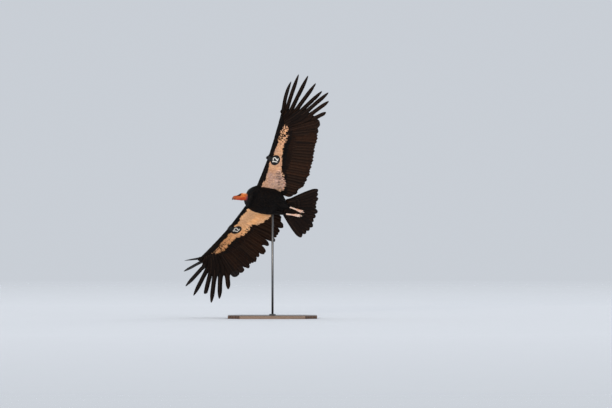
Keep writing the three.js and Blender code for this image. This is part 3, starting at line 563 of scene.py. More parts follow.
def catmull(points, count):
    """Evenly counted points on a smooth curve through these."""
    p = np.asarray(points, float)
    p = np.vstack([2 * p[0] - p[1], p, 2 * p[-1] - p[-2]])
    t = np.linspace(0, len(p) - 3, count)
    i = np.minimum(t.astype(int), len(p) - 4)
    f = (t - i)[:, None]
    a, b, c, d = p[i], p[i + 1], p[i + 2], p[i + 3]
    square, cube = 2 * a - 5 * b + 4 * c - d, 3 * b - a - 3 * c + d
    return 0.5 * (2 * b + (c - a) * f + square * f ** 2 + cube * f ** 3)


def bezier(start, bend, end, t):
    t = t[..., None]
    return (1 - t) ** 2 * start + 2 * t * (1 - t) * bend + t ** 2 * end


def hoops(path, across, up, radii, sides, tall=1.0):
    """Rings round a path, in the plane of across and up; tall stretches them along up."""
    turn = circle(sides)[None, :, None]
    ring = across[:, None] * np.cos(turn) + up[:, None] * np.sin(turn) * tall
    return path[:, None] + ring * np.asarray(radii)[:, None, None]


def sweep(path, radii, sides, reference=(0, 0, 1), tall=1.0):
    """Rings of a round tube along a path; tall stretches the section towards the reference."""
    along = unit(np.gradient(path, axis=0))
    across = unit(np.cross(along, np.asarray(reference, float)))
    return hoops(path, across, np.cross(across, along), radii, sides, tall)


def closed_sweep(path, radii, sides):
    """Rings of a round tube along a path that closes on itself."""
    along = unit(np.roll(path, -1, 0) - np.roll(path, 1, 0))
    out = unit(path - path.mean(0))
    out = unit(out - along * (out * along).sum(-1, keepdims=True))
    return hoops(path, out, np.cross(along, out), radii, sides)


LEG_LINE = unit(FOOT - ANKLE)
LATERAL = unit(np.array([0, 1.0, 0]) - LEG_LINE * LEG_LINE[1])
DORSAL = -unit(np.cross(LEG_LINE, LATERAL))
THIGH_CURVE = THIGH_PATH + [tuple(ANKLE + LEG_LINE * 8)]
THIGH_LENGTH = 165.0
THIGH_STEPS = 200


def thigh_place(t, turn, lift):
    """Skin of the thigh, t from 0 in the trunk to 1 at the ankle."""
    t, turn, lift = together(t, turn, lift)
    path = catmull(THIGH_CURVE, THIGH_STEPS)
    line = unit(np.gradient(path, axis=0))
    at = np.clip(t, 0, 1) * (THIGH_STEPS - 1)
    low = np.minimum(at.astype(int), THIGH_STEPS - 2)
    f = (at - low)[..., None]
    centre, along = lerp(path[low], path[low + 1], f), unit(lerp(line[low], line[low + 1], f))
    beyond = np.maximum(t - 1, 0)[..., None] * np.linalg.norm(path[-1] - path[0])
    across = unit(np.cross(along, [0, 0, 1.0]))
    up = np.cross(across, along)
    radius = rows_at(THIGH_RADII, np.clip(t, 0, 1))[..., 1:2] + lift[..., None]
    round_ = across * np.cos(turn)[..., None] + up * np.sin(turn)[..., None]
    return centre + along * beyond + round_ * radius


def thigh_lift(t):
    """Sinks the thigh's skin under its feathers, less and less towards the ankle."""
    return -6.0 * (1 - smooth(t, 0.7, 1))


# Places on the unwrap of the skin: left, bottom, width, height of each region
ATLAS = {
    "trunk": (0.01, 0.01, 0.46, 0.56),
    ("wing", 1, 1): (0.5, 0.01, 0.48, 0.22),
    ("wing", 1, -1): (0.5, 0.25, 0.48, 0.22),
    ("wing", -1, 1): (0.5, 0.5, 0.48, 0.22),
    ("wing", -1, -1): (0.5, 0.75, 0.48, 0.22),
    ("thigh", 1): (0.01, 0.6, 0.2, 0.16),
    ("thigh", -1): (0.25, 0.6, 0.2, 0.16),
}


def on_atlas(region, a, b):
    """Places, each from 0 to 1, on a region of the unwrap."""
    left, bottom, width, height = ATLAS[region]
    return np.stack([left + width * np.clip(a, 0, 1), bottom + height * np.clip(b, 0, 1)], -1)


def trunk_uv(u, turn):
    return on_atlas("trunk", (u - REAR_END) / (BILL_U - REAR_END), np.mod(turn, 2 * np.pi) / (2 * np.pi))


def wing_uv(side, face, span, back):
    return on_atlas(("wing", side, face), (span - 90) / (WING_TIP - 80), back / 330)


# Head

def head_relief(x, y, z):
    """How far the bare skin of the head stands off its plain form: folds, sockets and openings."""
    at = np.stack([x, y, z], -1)
    beside = smooth(np.abs(y), 6, 14)
    r = np.hypot(x - EYE["x"], z - EYE["z"])
    relief = 0.28 * value_noise(at, 2.6, 3) + 0.45 * value_noise(at * (1, 1, 1.6), 6.0, 5)
    fold = np.abs(value_noise(at * (1.9, 0.8, 0.8), 8.0, 9))
    throat = smooth(-z, 8, 26) * (1 - smooth(x, 80, 104))
    nape = (1 - smooth(x, 14, 46)) * smooth(z, -14, 10)
    relief += (1.5 * throat + 1.1 * nape) * (0.5 - 2.2 * np.minimum(fold, 0.4))
    brow = 1.3 * hump(x, 68, 13) * hump(z, 22, 4.2)
    cheek = 1.2 * hump(x, 58, 9) * hump(z, 1, 4.5)
    groove = MOUTH["deep"] * hump(z, MOUTH["z"], MOUTH["wide"])
    lips = 0.5 * hump(np.abs(z - MOUTH["z"]), 2.8, 1.6)
    mouth = (lips - groove) * smooth(x, MOUTH["from"], MOUTH["from"] + 8)
    slit = ((x - NOSTRIL["x"]) / NOSTRIL["long"]) ** 2 + ((z - NOSTRIL["z"]) / NOSTRIL["tall"]) ** 2
    nostril = 0.7 * hump(slit, 1.7, 1.0) - NOSTRIL["deep"] * np.exp(-slit ** 1.5)
    off_ear = np.hypot(x - EAR["x"], z - EAR["z"]) / EAR["radius"]
    ear = 0.8 * hump(off_ear, 1.3, 0.4) - EAR["deep"] * np.exp(-off_ear ** 3)
    relief = (relief + (brow + cheek + mouth + nostril + ear) * beside) * smooth(r, 6.5, 10)
    socket = -7 * (1 - smooth(r, 4.8, 6.4)) - 0.5 * hump(r, 10.6, 1.4)
    return relief + socket * beside


def head_steps():
    """Lengths along the head, closer together round the eyes."""
    x = np.concatenate([np.arange(0, 54, 1.5), np.arange(54, 79, 0.75), np.arange(79, BILL_START + 0.1, 1.3)])
    return HEAD_U + np.append(x[x < BILL_START - 0.4], BILL_START - 0.2)


def skin_trunk(parts):
    body = np.concatenate([
        np.linspace(REAR_END, TORSO_REAR, 16), np.linspace(TORSO_REAR, TORSO_FRONT, 44)[1:],
        np.linspace(TORSO_FRONT, HEAD_U, 34)[1:-1],
    ])
    u = np.concatenate([body, head_steps()])[:, None]
    turn = circle(168)[None]
    rings = trunk_place(u, turn, -coat_depth(u))
    local = (rings - HEAD_PLACE) @ HEAD_FRAME
    outward = unit(trunk_place(u, turn, 1.0) - trunk_place(u, turn, 0.0))
    bare = smooth(u, 108, 132)
    lump = 0.9 * value_noise(local * (2.6, 1, 1), 9.0, 2) + 0.5 * value_noise(local, 3.5, 4)
    neck_fold = lump * bare * (1 - smooth(u, HEAD_U - 8, HEAD_U + 10))
    relief = head_relief(local[..., 0], local[..., 1], local[..., 2]) * smooth(u, HEAD_U - 6, HEAD_U + 8)
    relief = relief * (1 - smooth(u, BILL_U - 3.5, BILL_U))
    rings = rings + outward * (neck_fold + relief)[..., None]
    points, faces = tube(rings)
    kind = np.broadcast_to(bare, rings.shape[:2]).ravel()
    add_skin(parts, points, faces, (points - HEAD_PLACE) @ HEAD_FRAME, kind)


def add_skin(parts, points, faces, place, kind, pale=0):
    """kind is 1 on the bare skin of head and neck, 2 on the legs and 0 under feathers."""
    mark = np.zeros((len(points), 3))
    mark[:, 0] = pale
    mark[:, 1] = kind
    parts.add(points, faces, {"place": place * MM, "mark": mark})


def eyelids(parts):
    """Two soft folds round each eye, drawn to an almond."""
    turn = circle(72)
    for side in (1, -1):
        for major, minor, out in ((5.9, 1.15, 4.5), (8.1, 1.2, 4.0)):
            x = EYE["x"] + major * 1.12 * np.cos(turn)
            z = EYE["z"] + major * 0.92 * np.sin(turn) + 0.5 * np.cos(turn)
            bulge = 0.8 * (1 - ((x - EYE["x"]) / 9) ** 2)
            path = np.stack([x, side * (EYE["y"] + out + bulge - 0.35), z], -1)
            rings = closed_sweep(path, minor * (1 + 0.12 * np.sin(9 * turn)), 14).reshape(-1, 3)
            add_skin(parts, from_head(rings), [grid_faces(72, 14, ring=True)], rings, 1)


def skin_wing(parts, side):
    spans = np.linspace(92, WING_TIP, 90)
    depth = (1 - np.cos(np.linspace(0, np.pi, 16))) / 2
    depth = np.concatenate([depth[::-1] * 0.98, depth[1:] * 0.98])
    face = np.concatenate([np.ones(16), -np.ones(15)])
    span, d = np.meshgrid(spans, depth, indexing="ij")
    back = d * rows_at(WING_ROWS, spans)[:, 5:6]
    rings = wing_place(span, back)
    half = arm_half(span, back)
    inset = np.minimum(ARM_COAT, half * 0.55)
    rings[..., 2] += face * (half - inset)
    rings[..., 0] -= np.where(d < 0.02, ARM_COAT * 0.6, 0)
    points, faces = tube(rings[:, :-1])
    points = points * (1, side, 1)
    pale = (lining(span, back, side) * (face < 0))[:, :-1].ravel()
    add_skin(parts, points, faces, points, 0, pale)


def skin_leg(parts, side):
    t, turn = np.meshgrid(np.linspace(0, 1, 40), circle(36), indexing="ij")
    rings = thigh_place(t, turn, thigh_lift(t))
    points, faces = tube(rings * (1, side, 1))
    add_skin(parts, points, faces, points, 0)
    shin_t = np.linspace(0, 1, 60)
    shin = lerp(ANKLE - LEG_LINE * 12, FOOT + LEG_LINE * 6, shin_t[:, None])
    radius = rows_at(TARSUS_RADII, shin_t)[:, 1] * (1 + 0.025 * np.sin(shin_t * 130))
    add_leg_tube(parts, side, sweep(shin, radius, 32, (0, 0, 1), 1.12))
    for rings in toe_rings():
        add_leg_tube(parts, side, rings)


def add_leg_tube(parts, side, rings):
    points, faces = tube(rings * (1, side, 1))
    add_skin(parts, points, faces, points, 2)


def toe_reach(spread, length, rise):
    def reach(share, lift=0.0):
        return (FOOT + LEG_LINE * (10 + length * share) + LATERAL * spread * (0.45 + 0.9 * share)
                + DORSAL * (rise * share + lift))
    return reach


def toe_rings():
    """The pad of the foot and its toes, each with joints and soft pads."""
    pad = catmull([FOOT - LEG_LINE * 3, FOOT + LEG_LINE * 9, FOOT + LEG_LINE * 23], 24)
    yield sweep(pad, 3 + 9 * np.sin(np.linspace(0.35, 2.7, 24)), 28, tuple(DORSAL), 0.82)
    for _, spread, length, thick, rise in TOES:
        reach = toe_reach(spread, length, rise)
        path = catmull([reach(-0.1), reach(0.5, -2.5), reach(1.0)], 56)
        t = np.linspace(0, 1, 56)
        joints = 1 + 0.11 * np.cos(t * 2 * np.pi * (3 if length > 40 else 1.5)) + 0.018 * np.sin(t * 110)
        yield sweep(path, thick * lerp(1, 0.66, t) * joints, 22, tuple(DORSAL), 0.94)


def talons(side, material):
    """Curved claws, each from a sleeve of skin to a blunt point."""
    parts = Parts()
    for _, spread, length, thick, rise in TOES:
        reach = toe_reach(spread, length, rise)
        line = unit(reach(1.0) - reach(0.9, -0.5))
        size = 12 + length * 0.14
        t = np.linspace(0, 1, 26)
        start = reach(1.0) - line * 2.5
        path = bezier(start, start + line * size * 0.62, start + line * (size + 2) + DORSAL * 7, t)
        radius = thick * 0.56 * (1 - t ** 1.6) ** 0.75 + 0.25
        rings = sweep(path, radius, 20, tuple(DORSAL), 1.18)
        points, faces = tube(rings * (1, side, 1))
        parts.add(points, faces, {"mark": np.repeat(np.stack([t, 0 * t, 0 * t], -1), 20, axis=0)})
    nodes = [f"claw_{SIDES[side]}_{toe[0]}" for toe in TOES]
    parts.piece(f"talons_{SIDES[side]}", material, "claw", nodes)


def beak(name, node, table, material):
    """One half of the bill, with a hooked or a spooned tip."""
    x = np.linspace(table[0][0] - 2.5, table[-1][0], 70)
    row = rows_at(table, x)
    row[:, 0] = x
    turn = circle(56)
    rings = egg(row[:, None], turn[None], 0.0, 0.95)
    t = (x - x[0]) / (x[-1] - x[0])
    if table is UPPER_BILL_ROWS:
        keel = hump(turn, np.pi / 2, 0.5)
        rings[..., 2] += 0.5 * keel * smooth(t, 0.1, 0.5)[:, None]
        cere = hump(x, 126, 2.2)[:, None]
        rings[..., 2] -= 0.35 * cere * (np.sin(turn) > 0)
        edge = sum(hump(turn, at, 0.3) for at in (-0.25, np.pi + 0.25, 2 * np.pi - 0.25))
        rings[..., 2] -= 0.7 * edge * np.sin(t * 5.2)[:, None] * (1 - t)[:, None]
    local = rings.reshape(-1, 3)
    points, faces = tube(from_head(rings))
    mark = np.repeat(np.stack([t, 0 * t, 0 * t], -1), len(turn), axis=0)
    parts = Parts()
    parts.add(points, faces, {"place": local * MM, "mark": mark})
    parts.piece(name, material, "bill", [node])


def eyeball(side, material):
    """An eye with a raised clear front; the mark holds the distance from the pupil's middle."""
    rings, sides = 40, 48
    a = np.linspace(0, np.pi, rings)[1:-1]
    turn = circle(sides)
    bulge = 0.5 * hump(a, 0, 0.6)
    radius = EYE["radius"] - 0.15 + bulge
    out = (radius * np.cos(a))[:, None] + 0 * turn
    across = (radius * np.sin(a))[:, None]
    local = np.stack([across * np.cos(turn), out, across * np.sin(turn)], -1)
    shape = local * (1, side, 1) + (EYE["x"], side * EYE["y"], EYE["z"])
    points, faces = tube(from_head(shape))
    mark = np.stack([np.repeat(a, sides), np.tile(turn, len(a)), np.zeros(len(a) * sides)], -1)
    parts = Parts()
    parts.add(points, faces, {"mark": mark})
    parts.piece(f"eyeball_{SIDES[side]}", material, "eye", [f"eye_{SIDES[side]}"])


def skin(material):
    """One skin for trunk, neck, head, arms of the wings and legs."""
    parts = Parts()
    skin_trunk(parts)
    eyelids(parts)
    nodes = ["torso", "neck", "head", "tail"]
    for side, label in SIDES.items():
        skin_wing(parts, side)
        skin_leg(parts, side)
        nodes += [f"wing_{label}_{part}" for part in ("upper_arm", "forearm", "hand")]
        nodes += [f"thigh_{label}", f"tarsus_{label}", f"foot_{label}"]
    parts.piece("skin", material, "bare_skin", nodes)


# Feathers

WING_UP = unit(np.array([0, -0.12, 1.0]))
VANE_COLUMNS = 13
COVERT_COLUMNS = 9
TUFT_COLUMNS = 3
PRIMARY_ROWS = 72
SECONDARY_ROWS = 54
COVERT_ROWS = 26
RUFF_ROWS = 9
COAT_ROWS = 6
BRISTLE_ROWS = 4

# In metres: the widths that fill a strip or a patch of the baking map. The patch is in map units
WIDEST_VANE = 0.1
WIDEST_TUFT = 0.03
TUFT_PATCH = 0.003


def for_points(value, count, vane):
    """One value, one for each feather or one for each point, given as one for each point."""
    value = np.asarray(value, float)
    if value.size == len(vane):
        return value
    return np.repeat(np.broadcast_to(value, (count,)), len(vane) // count)


def add_feathers(parts, shape, side, tone, pale=0, hue=0, at=None):
    """Adds feathers with their marks: how pale, the tone, and how pink a small one (painted shade, on
    the left wing's lining) or how black a large one is. On the baking map a small feather is a patch
    at its root's place on the skin, and a large one has a strip of its own, in the order of the roots."""
    points, faces, vane = shape
    count = len(tone)
    marks = np.stack([for_points(value, count, vane) for value in (pale, tone, hue)], -1)
    if at is None:
        across = np.clip(0.5 + vane[:, 0] / WIDEST_VANE, 0.02, 0.98)
        place = for_points(parts.placed + np.arange(count), count, vane)
        uv = np.stack([place + across, vane[:, 2]], -1)
        parts.placed += count
    else:
        patch = np.stack([vane[:, 0] / WIDEST_TUFT + 0.5, vane[:, 2]], -1).clip(0, 1) * TUFT_PATCH
        uv = np.repeat(at, len(vane) // count, axis=0) + patch
    parts.add(points * (1, side, 1), faces, {"vane": vane, "mark": marks}, uv)


def blunt(t, start, power=2.4):
    """Share of its width that a vane keeps towards a rounded tip."""
    s = np.clip((t - start) / (1 - start), 0, 1)
    return np.sqrt(np.clip(1 - s ** power, 0, 1))


def vane_shape(t, root, filled, tip, power=2.4):
    """Share of its width along a vane: narrow at the root, full once filled, rounded after tip."""
    return lerp(root, 1, smooth(t, 0, filled)) * blunt(t, tip, power)


def through_bend(root, middle, tip):
    """The bend of a curve from root to tip that passes through middle."""
    before = np.linalg.norm(middle - root, axis=-1)
    t = (before / (before + np.linalg.norm(tip - middle, axis=-1)))[..., None]
    return (middle - (1 - t) ** 2 * root - t ** 2 * tip) / (2 * t * (1 - t))


def nicked(half, random, share, depth):
    """Widths with a few of the rows drawn in, as where barbs have parted."""
    nicks = random.random(half.shape) < share
    nicks[:, :6] = False
    return half * np.where(nicks, 1 - depth * random.random(half.shape), 1)


def bowed(root, bend, tip, rows):
    """One curve a feather, (feathers, rows, 3)."""
    t = np.broadcast_to(np.linspace(0, 1, rows), (len(root), rows))
    return bezier(root[:, None], bend[:, None], tip[:, None], t)


def vanes(spine, inner, outer, twist, up, random, columns=VANE_COLUMNS, shaft=1.3):
    """Large feathers along their spines; inner and outer are widths at each row."""
    t = np.linspace(0, 1, spine.shape[1])
    ridge = np.broadcast_to(shaft * (1 - 0.85 * t), inner.shape)[..., None]
    thick = np.full(inner.shape, 0.7)
    inner = nicked(inner, random, 0.022, 0.22)
    outer = nicked(outer, random, 0.015, 0.15)
    return leaves(spine, np.broadcast_to(up, spine.shape), inner, outer, 0.05, thick, columns, twist, ridge)


def secondaries(side, random):
    count = SECONDARIES["count"]
    t = np.linspace(0, 1, count)
    root_span = lerp(*SECONDARIES["roots"], t)
    parted = SECONDARIES["parted"][side]
    tip_span = lerp(*SECONDARIES["tips"], t) + jitter(random, count, parted)
    if side == SLITS["side"]:
        for gap, wide in SLITS["places"]:
            from_gap = tip_span - gap
            tip_span = tip_span + wide * np.sign(from_gap) * np.exp(-np.abs(from_gap) / SLITS["fade"])
    root_depth = rows_at(WING_ROWS, root_span)[:, 5] * SECONDARIES["root_depth"]
    reach = lerp(*TRAILING_REACH[side], np.minimum(1, 6 * t)) + SECONDARIES["reach"]
    worn = 0.6 * (parted + SECONDARIES["worn"])
    tip_back = chord_at(tip_span) + reach - worn * random.random(count)
    if side == GROWING["side"]:
        growing = GROWING["index"]
        tip_back[growing:growing + 2] -= GROWING["shorter"]
    root, tip = wing_place(root_span, root_depth), wing_place(tip_span, tip_back)
    middle = wing_place((root_span + tip_span) / 2, (root_depth + tip_back) / 2)
    spine = bowed(root, through_bend(root, middle, tip), tip, SECONDARY_ROWS)
    share = np.linspace(0, 1, SECONDARY_ROWS)[None]
    width = SECONDARIES["width"] * vane_shape(share, 0.5, 0.42, 0.82, 1.5) + 0.6
    width = width * vary(random, (count, 1), 0.05)
    outer = 0.4 * width * (1 - 0.1 * smooth(share, 0.8, 1))
    twist = SECONDARIES["twist"] + jitter(random, count, 1.2)
    return vanes(spine, 0.6 * width, outer, twist, WING_UP, random)


def finger_spine(root, splay, tip, bow, swing):
    """From the hand round to the splay, then nearly straight to the tip; also where it splays."""
    inner, outer = np.linalg.norm(splay - root), np.linalg.norm(tip - splay)
    leaf = inner / (inner + outer)
    t = np.linspace(0, 1, PRIMARY_ROWS)[:, None]
    straight = unit(tip - splay)
    hand = bezier(root, splay - straight * inner * swing, splay, np.clip(t[:, 0] / leaf, 0, 1))
    s = np.clip((t - leaf) / (1 - leaf), 0, 1)
    finger = splay + (tip - splay) * s + unit(np.array([1, 0.3, 0])) * bow * 4 * s * (1 - s)
    return np.where(t < leaf, hand, finger), leaf


def primaries(side, random):
    count = len(PRIMARIES)
    t = np.linspace(0, 1, count)
    lean = -side * lerp(HAND_SPREAD["inner"], HAND_SPREAD["outer"], t)
    span = lerp(*PRIMARY["roots"], t)
    root = wing_place(span, rows_at(WING_ROWS, span)[:, 5] * lerp(*PRIMARY["root_depth"], t))
    back = np.where((np.arange(count) < 2) & (side < 0), TRAILING_REACH[-1][1], 0)
    splay, tip = np.array(PRIMARIES, float).transpose(1, 0, 2)
    tip = tip + np.stack([lean - back, np.full(count, -side * HAND_SPREAD["reach"]), 0 * lean], -1)
    tip[:, 0] -= FINGERS["back"][side]
    if side == BLUNT_FINGER["side"]:
        k = BLUNT_FINGER["index"]
        tip[k] -= unit(tip[k] - splay[k]) * BLUNT_FINGER["shorter"]
    share = np.linspace(0, 1, PRIMARY_ROWS)
    widths, spines = [], []
    for k in range(count):
        swing = min(0.4, 0.1 * max(0, k - 1))
        spine, leaf = finger_spine(root[k], splay[k], tip[k], FINGERS["bow"][k], swing)
        spines.append(spine)
        full = PRIMARY["width"] + (PRIMARY["wider"] if 1 <= k <= 4 else 2)
        finger = full if k < 2 else FINGERS["width"][side]
        rows = [
            [0, full * 0.4], [leaf * 0.45, full], [leaf * 0.8, full], [lerp(leaf, 1, 0.06), finger],
            [lerp(leaf, 1, 0.7), finger * 0.86], [1, finger * 0.7],
        ]
        cut_off = side == BLUNT_FINGER["side"] and k == BLUNT_FINGER["index"]
        point = blunt(share, 0.94, 3.0) if cut_off else blunt(share, lerp(leaf, 1, 0.66), 1.6)
        widths.append(rows_at(rows, share)[:, 1] * point + 0.6)
    width = np.array(widths)
    twist = PRIMARY["twist"] + jitter(random, count, 1.5)
    return vanes(np.array(spines), 0.6 * width, 0.4 * width, twist, WING_UP, random, shaft=1.9)


def covert_row(face, spans, count, lean_out, random):
    """Greater coverts over (face 1) or under (face -1) the flight feathers."""
    t = np.linspace(0, 1, count)
    root_span = lerp(*spans, t)
    lean = lerp(*lean_out, t)
    start = rows_at(WING_ROWS, root_span)[:, 5] * COVERTS["root_depth"]
    on_hand = smooth(root_span, 640, 720)
    on_arm = chord_at(root_span) * COVERTS["reach"][face]
    tip_back = lerp(on_arm, start + lerp(92, 60, smooth(root_span, 720, 890)), on_hand)
    tip_back = tip_back + jitter(random, count, 7)
    reach = tip_back - start
    root = wing_place(root_span, start)
    middle = wing_place(root_span + reach * lean / 2, start + reach / 2)
    tip = wing_place(root_span + reach * lean, tip_back)
    middle[:, 2] += face * COVERTS["clear"]
    tip[:, 2] += face * (COVERTS["clear"] - 2)
    spine = bowed(root, through_bend(root, middle, tip), tip, COVERT_ROWS)
    along = np.linspace(0, 1, COVERT_ROWS)[None]
    half = COVERTS["width"] / 2 * vane_shape(along, 0.6, 0.4, 0.74) + 0.4
    half = half * vary(random, (count, 1), 0.08)
    return vanes(spine, half, half, COVERTS["twist"], WING_UP, random, COVERT_COLUMNS, 0.6)


def flight_feathers(side, material):
    """Secondaries, primaries and greater coverts of one wing."""
    random = np.random.default_rng(31 if side > 0 else 57)
    lit = 1.0 if side > 0 else 0.45
    parts = Parts()
    outward = smooth(np.linspace(0, 1, SECONDARIES["count"]), -0.25, 0.5)
    tone = lit * random.random(SECONDARIES["count"]) * outward
    add_feathers(parts, secondaries(side, random), side, tone)
    tone = lit * random.random(len(PRIMARIES))
    black = np.minimum(1, 0.15 + 0.2 * np.arange(len(PRIMARIES)))
    add_feathers(parts, primaries(side, random), side, tone, hue=black)
    parts.piece(f"flight_feathers_{SIDES[side]}", material, "wing_feathers")
    parts = Parts()
    for face in (1, -1):
        for spans, count, lean in COVERTS["rows"]:
            shape = covert_row(face, spans, count, lean, random)
            pale_tips = 0.75 * smooth(shape[2][:, 2], 0.8, 0.94) if face > 0 else 0
            add_feathers(parts, shape, side, random.random(count), pale_tips, COVERTS["black"][face])
    parts.piece(f"greater_coverts_{SIDES[side]}", material, "wing_feathers")


def tail_line(angle, ahead, aside, height, length):
    """Roots and tips of tail feathers, fanned by angle and rolled with the tail."""
    start = np.stack([0 * angle + ahead, aside, height], -1)
    further = max(0, ahead) * np.tan(angle)
    end = np.stack([-np.cos(angle) * length, aside * 0.4 + np.sin(angle) * length + further, height], -1)
    middle = np.array([TORSO_REAR, 0, TAIL["height"]])
    return start @ TAIL_ROLL.T + middle, end @ TAIL_ROLL.T + middle


def tail_feathers(material):
    random = np.random.default_rng(29)
    up = TAIL_ROLL @ np.array([0, 0, 1.0])
    parts = Parts()
    count = TAIL["feathers"]
    k = np.arange(count)
    across = 2 * k / (count - 1) - 1
    angle = np.radians(TAIL["fan"] * across + jitter(random, count, 1.6))
    length = TAIL["length"] - TAIL["shorter"] * across ** 2 + rows_at(TAIL_REACH, across)[:, 1]
    length -= TAIL["worn"] * random.random(count)
    height = -TAIL["step"] * np.abs(k - count / 2 + 0.4)
    root, tip = tail_line(angle, TAIL["ahead"], TAIL["root"] * across, height, length)
    share = np.linspace(0, 1, SECONDARY_ROWS)[None]
    width = TAIL["width"] * vane_shape(share, 0.4, 0.7, 0.82, 1.4) + 0.6
    width = np.broadcast_to(width, (count, SECONDARY_ROWS))
    lower = 0.5 + 0.1 * across[:, None]
    spine = bowed(root, (root + tip) / 2, tip, SECONDARY_ROWS)
    shape = vanes(spine, width * lower, width * (1 - lower), 0, up, random)
    add_feathers(parts, shape, 1, random.random(count), hue=1)
    along = np.linspace(0, 1, COVERT_ROWS)[None]
    half = TAIL_COVERTS["width"] / 2 * vane_shape(along, 0.6, 0.5, 0.66) + 0.4
    for base, out, long_, number, fan in TAIL_COVERTS["tiers"]:
        k = np.arange(number)
        across = 2 * k / (number - 1) - 1
        height = base + out * 1.4 * np.abs(k - number / 2 + 0.4)
        size = long_ * (1 - 0.12 * across ** 2) + 8 * random.random(number)
        aside = TAIL["root"] * TAIL_COVERTS["spread"] * across
        root, tip = tail_line(np.radians(fan * across), TAIL_COVERTS["ahead"], aside, height, size)
        spine = bowed(root, (root + tip) / 2, tip, COVERT_ROWS)
        widths = np.broadcast_to(half, (number, COVERT_ROWS))
        shape = vanes(spine, widths, widths, 0, up, random, COVERT_COLUMNS, 0.6)
        add_feathers(parts, shape, 1, random.random(number), hue=1)
    parts.piece("tail_feathers", material, "tail_feathers")


def lining(span, back, side):
    """1 where the underside of the wing is pale: behind the black leading edge, out to the hand."""
    at = np.stack([span, back, 0 * span], -1)
    ragged = 9 * value_noise(at * (1, 0.6, 1), 26.0, 6 + side) + 5 * value_noise(at, 9.0, 8)
    row = rows_at(LINING_ROWS[side], span)
    front, rear = row[..., 1], row[..., 2]
    return (smooth(back + ragged, front - 3, front + 5) * (1 - smooth(back + ragged, rear - 6, rear + 4))
            * (1 - smooth(span + 2.0 * ragged, 862, 905)) * smooth(span + ragged, 118, 132))


def surface_normal(place, a, b, lift, step, sign):
    da = place(a + step[0], b, lift) - place(a - step[0], b, lift)
    db = place(a, b + step[1], lift) - place(a, b - step[1], lift)
    return unit(np.cross(da, db)) * sign


def small_feathers(place, a, b, lift, width, start, cup, step, sign, twist, thick=0.5):
    """Feathers laid on a surface: a, b and lift give each one's shaft on it, (feathers, rows)."""
    normal = surface_normal(place, a, b, lift, step, sign)
    t = np.linspace(0, 1, a.shape[1])[None]
    half = width[:, None] / 2 * vane_shape(t, 0.5, 0.45, start, 2.0) + 0.25
    return leaves(place(a, b, lift), normal, half, half, cup, np.full(a.shape, thick), TUFT_COLUMNS, twist)


def inside_wing(points):
    """True where the root of a body feather would be inside the arm of a wing."""
    span = np.abs(points[..., 1])
    row = rows_at(WING_ROWS, span)
    back = row[..., 1] - points[..., 0]
    middle = wing_place(np.maximum(span, WING_ROOT), np.clip(back, 0, None))[..., 2]
    near = np.abs(points[..., 2] - middle) < arm_half(span, np.clip(back, 0, None)) - 3
    return (span > WING_ROOT - 20) & (back > 0) & (back < row[..., 5]) & near


def near_rod(points):
    """True where the root of a feather would be in the stand's rod."""
    down = BIRD_TURN.T @ np.array([0, 0, -1.0])
    off = points - ROD_TOP
    along = off @ down
    return (np.linalg.norm(off - along[..., None] * down, axis=-1) < ROD_RADIUS + 3) & (along > 0)


def girth(u):
    """Length round the skin of the trunk at u."""
    ring = trunk_place(u, np.linspace(0, 2 * np.pi, 60), 0.0)
    return np.linalg.norm(np.diff(ring, axis=0), axis=-1).sum()


def ring_turns(k, count, loose, random):
    """Where the feathers of ring k stand round it, between those of the ring before."""
    return (np.arange(count) + 0.5 * (k % 2) + loose * random.random(count)) * 2 * np.pi / count


def ring_places(places, counts, loose, stray, random):
    """Feathers in rings at these places along the body: where each root is, and its turn."""
    a, b = [], []
    for k, (place, count) in enumerate(zip(places, counts)):
        b.append(ring_turns(k, count, loose, random))
        a.append(place + jitter(random, count, stray))
    return np.concatenate(a), np.concatenate(b)


def coat_piece(name, material, shape, side, tone, at, pale=0, shade_pink=0):
    """A piece of small feathers."""
    parts = Parts()
    add_feathers(parts, shape, side, tone, pale, shade_pink, at)
    parts.piece(name, material, "body_feathers")


def trunk_coat(material):
    """Small feathers of breast, back, belly and rump, laid backwards."""
    random = np.random.default_rng(5)
    places = np.arange(REAR_END + TRUNK_COAT["first"], TRUNK_COAT["last"], TRUNK_COAT["apart"])
    counts = [int(girth(u) / TRUNK_COAT["beside"]) for u in places]
    a, b = ring_places(places, counts, 0.35, 4, random)
    spot = trunk_place(a, b, -coat_depth(a))
    keep = ~inside_wing(spot) & ~near_rod(spot)
    a, b, count = a[keep], b[keep], int(keep.sum())
    t = np.linspace(0, 1, COAT_ROWS)[None]
    length = lerp(*TRUNK_COAT["length"], smooth(a, -320, 60)) * vary(random, count, 0.24)
    turn = b[:, None] + jitter(random, (count, 1), 0.1) * t
    u = np.maximum(a[:, None] - length[:, None] * t, REAR_END + 1)
    lift = (COAT + 0.4) * t ** 0.8 * (1 + 0.25 * random.random((count, 1))) - coat_depth(a)[:, None] - 0.6
    width = TRUNK_COAT["width"] * vary(random, count, 0.25)
    twist = jitter(random, count, 5)
    shape = small_feathers(trunk_place, u, turn, lift, width, 0.5, 0.16, TRUNK_STEP, -1, twist)
    coat_piece("body_feathers", material, shape, 1, random.random(count), trunk_uv(a, b))


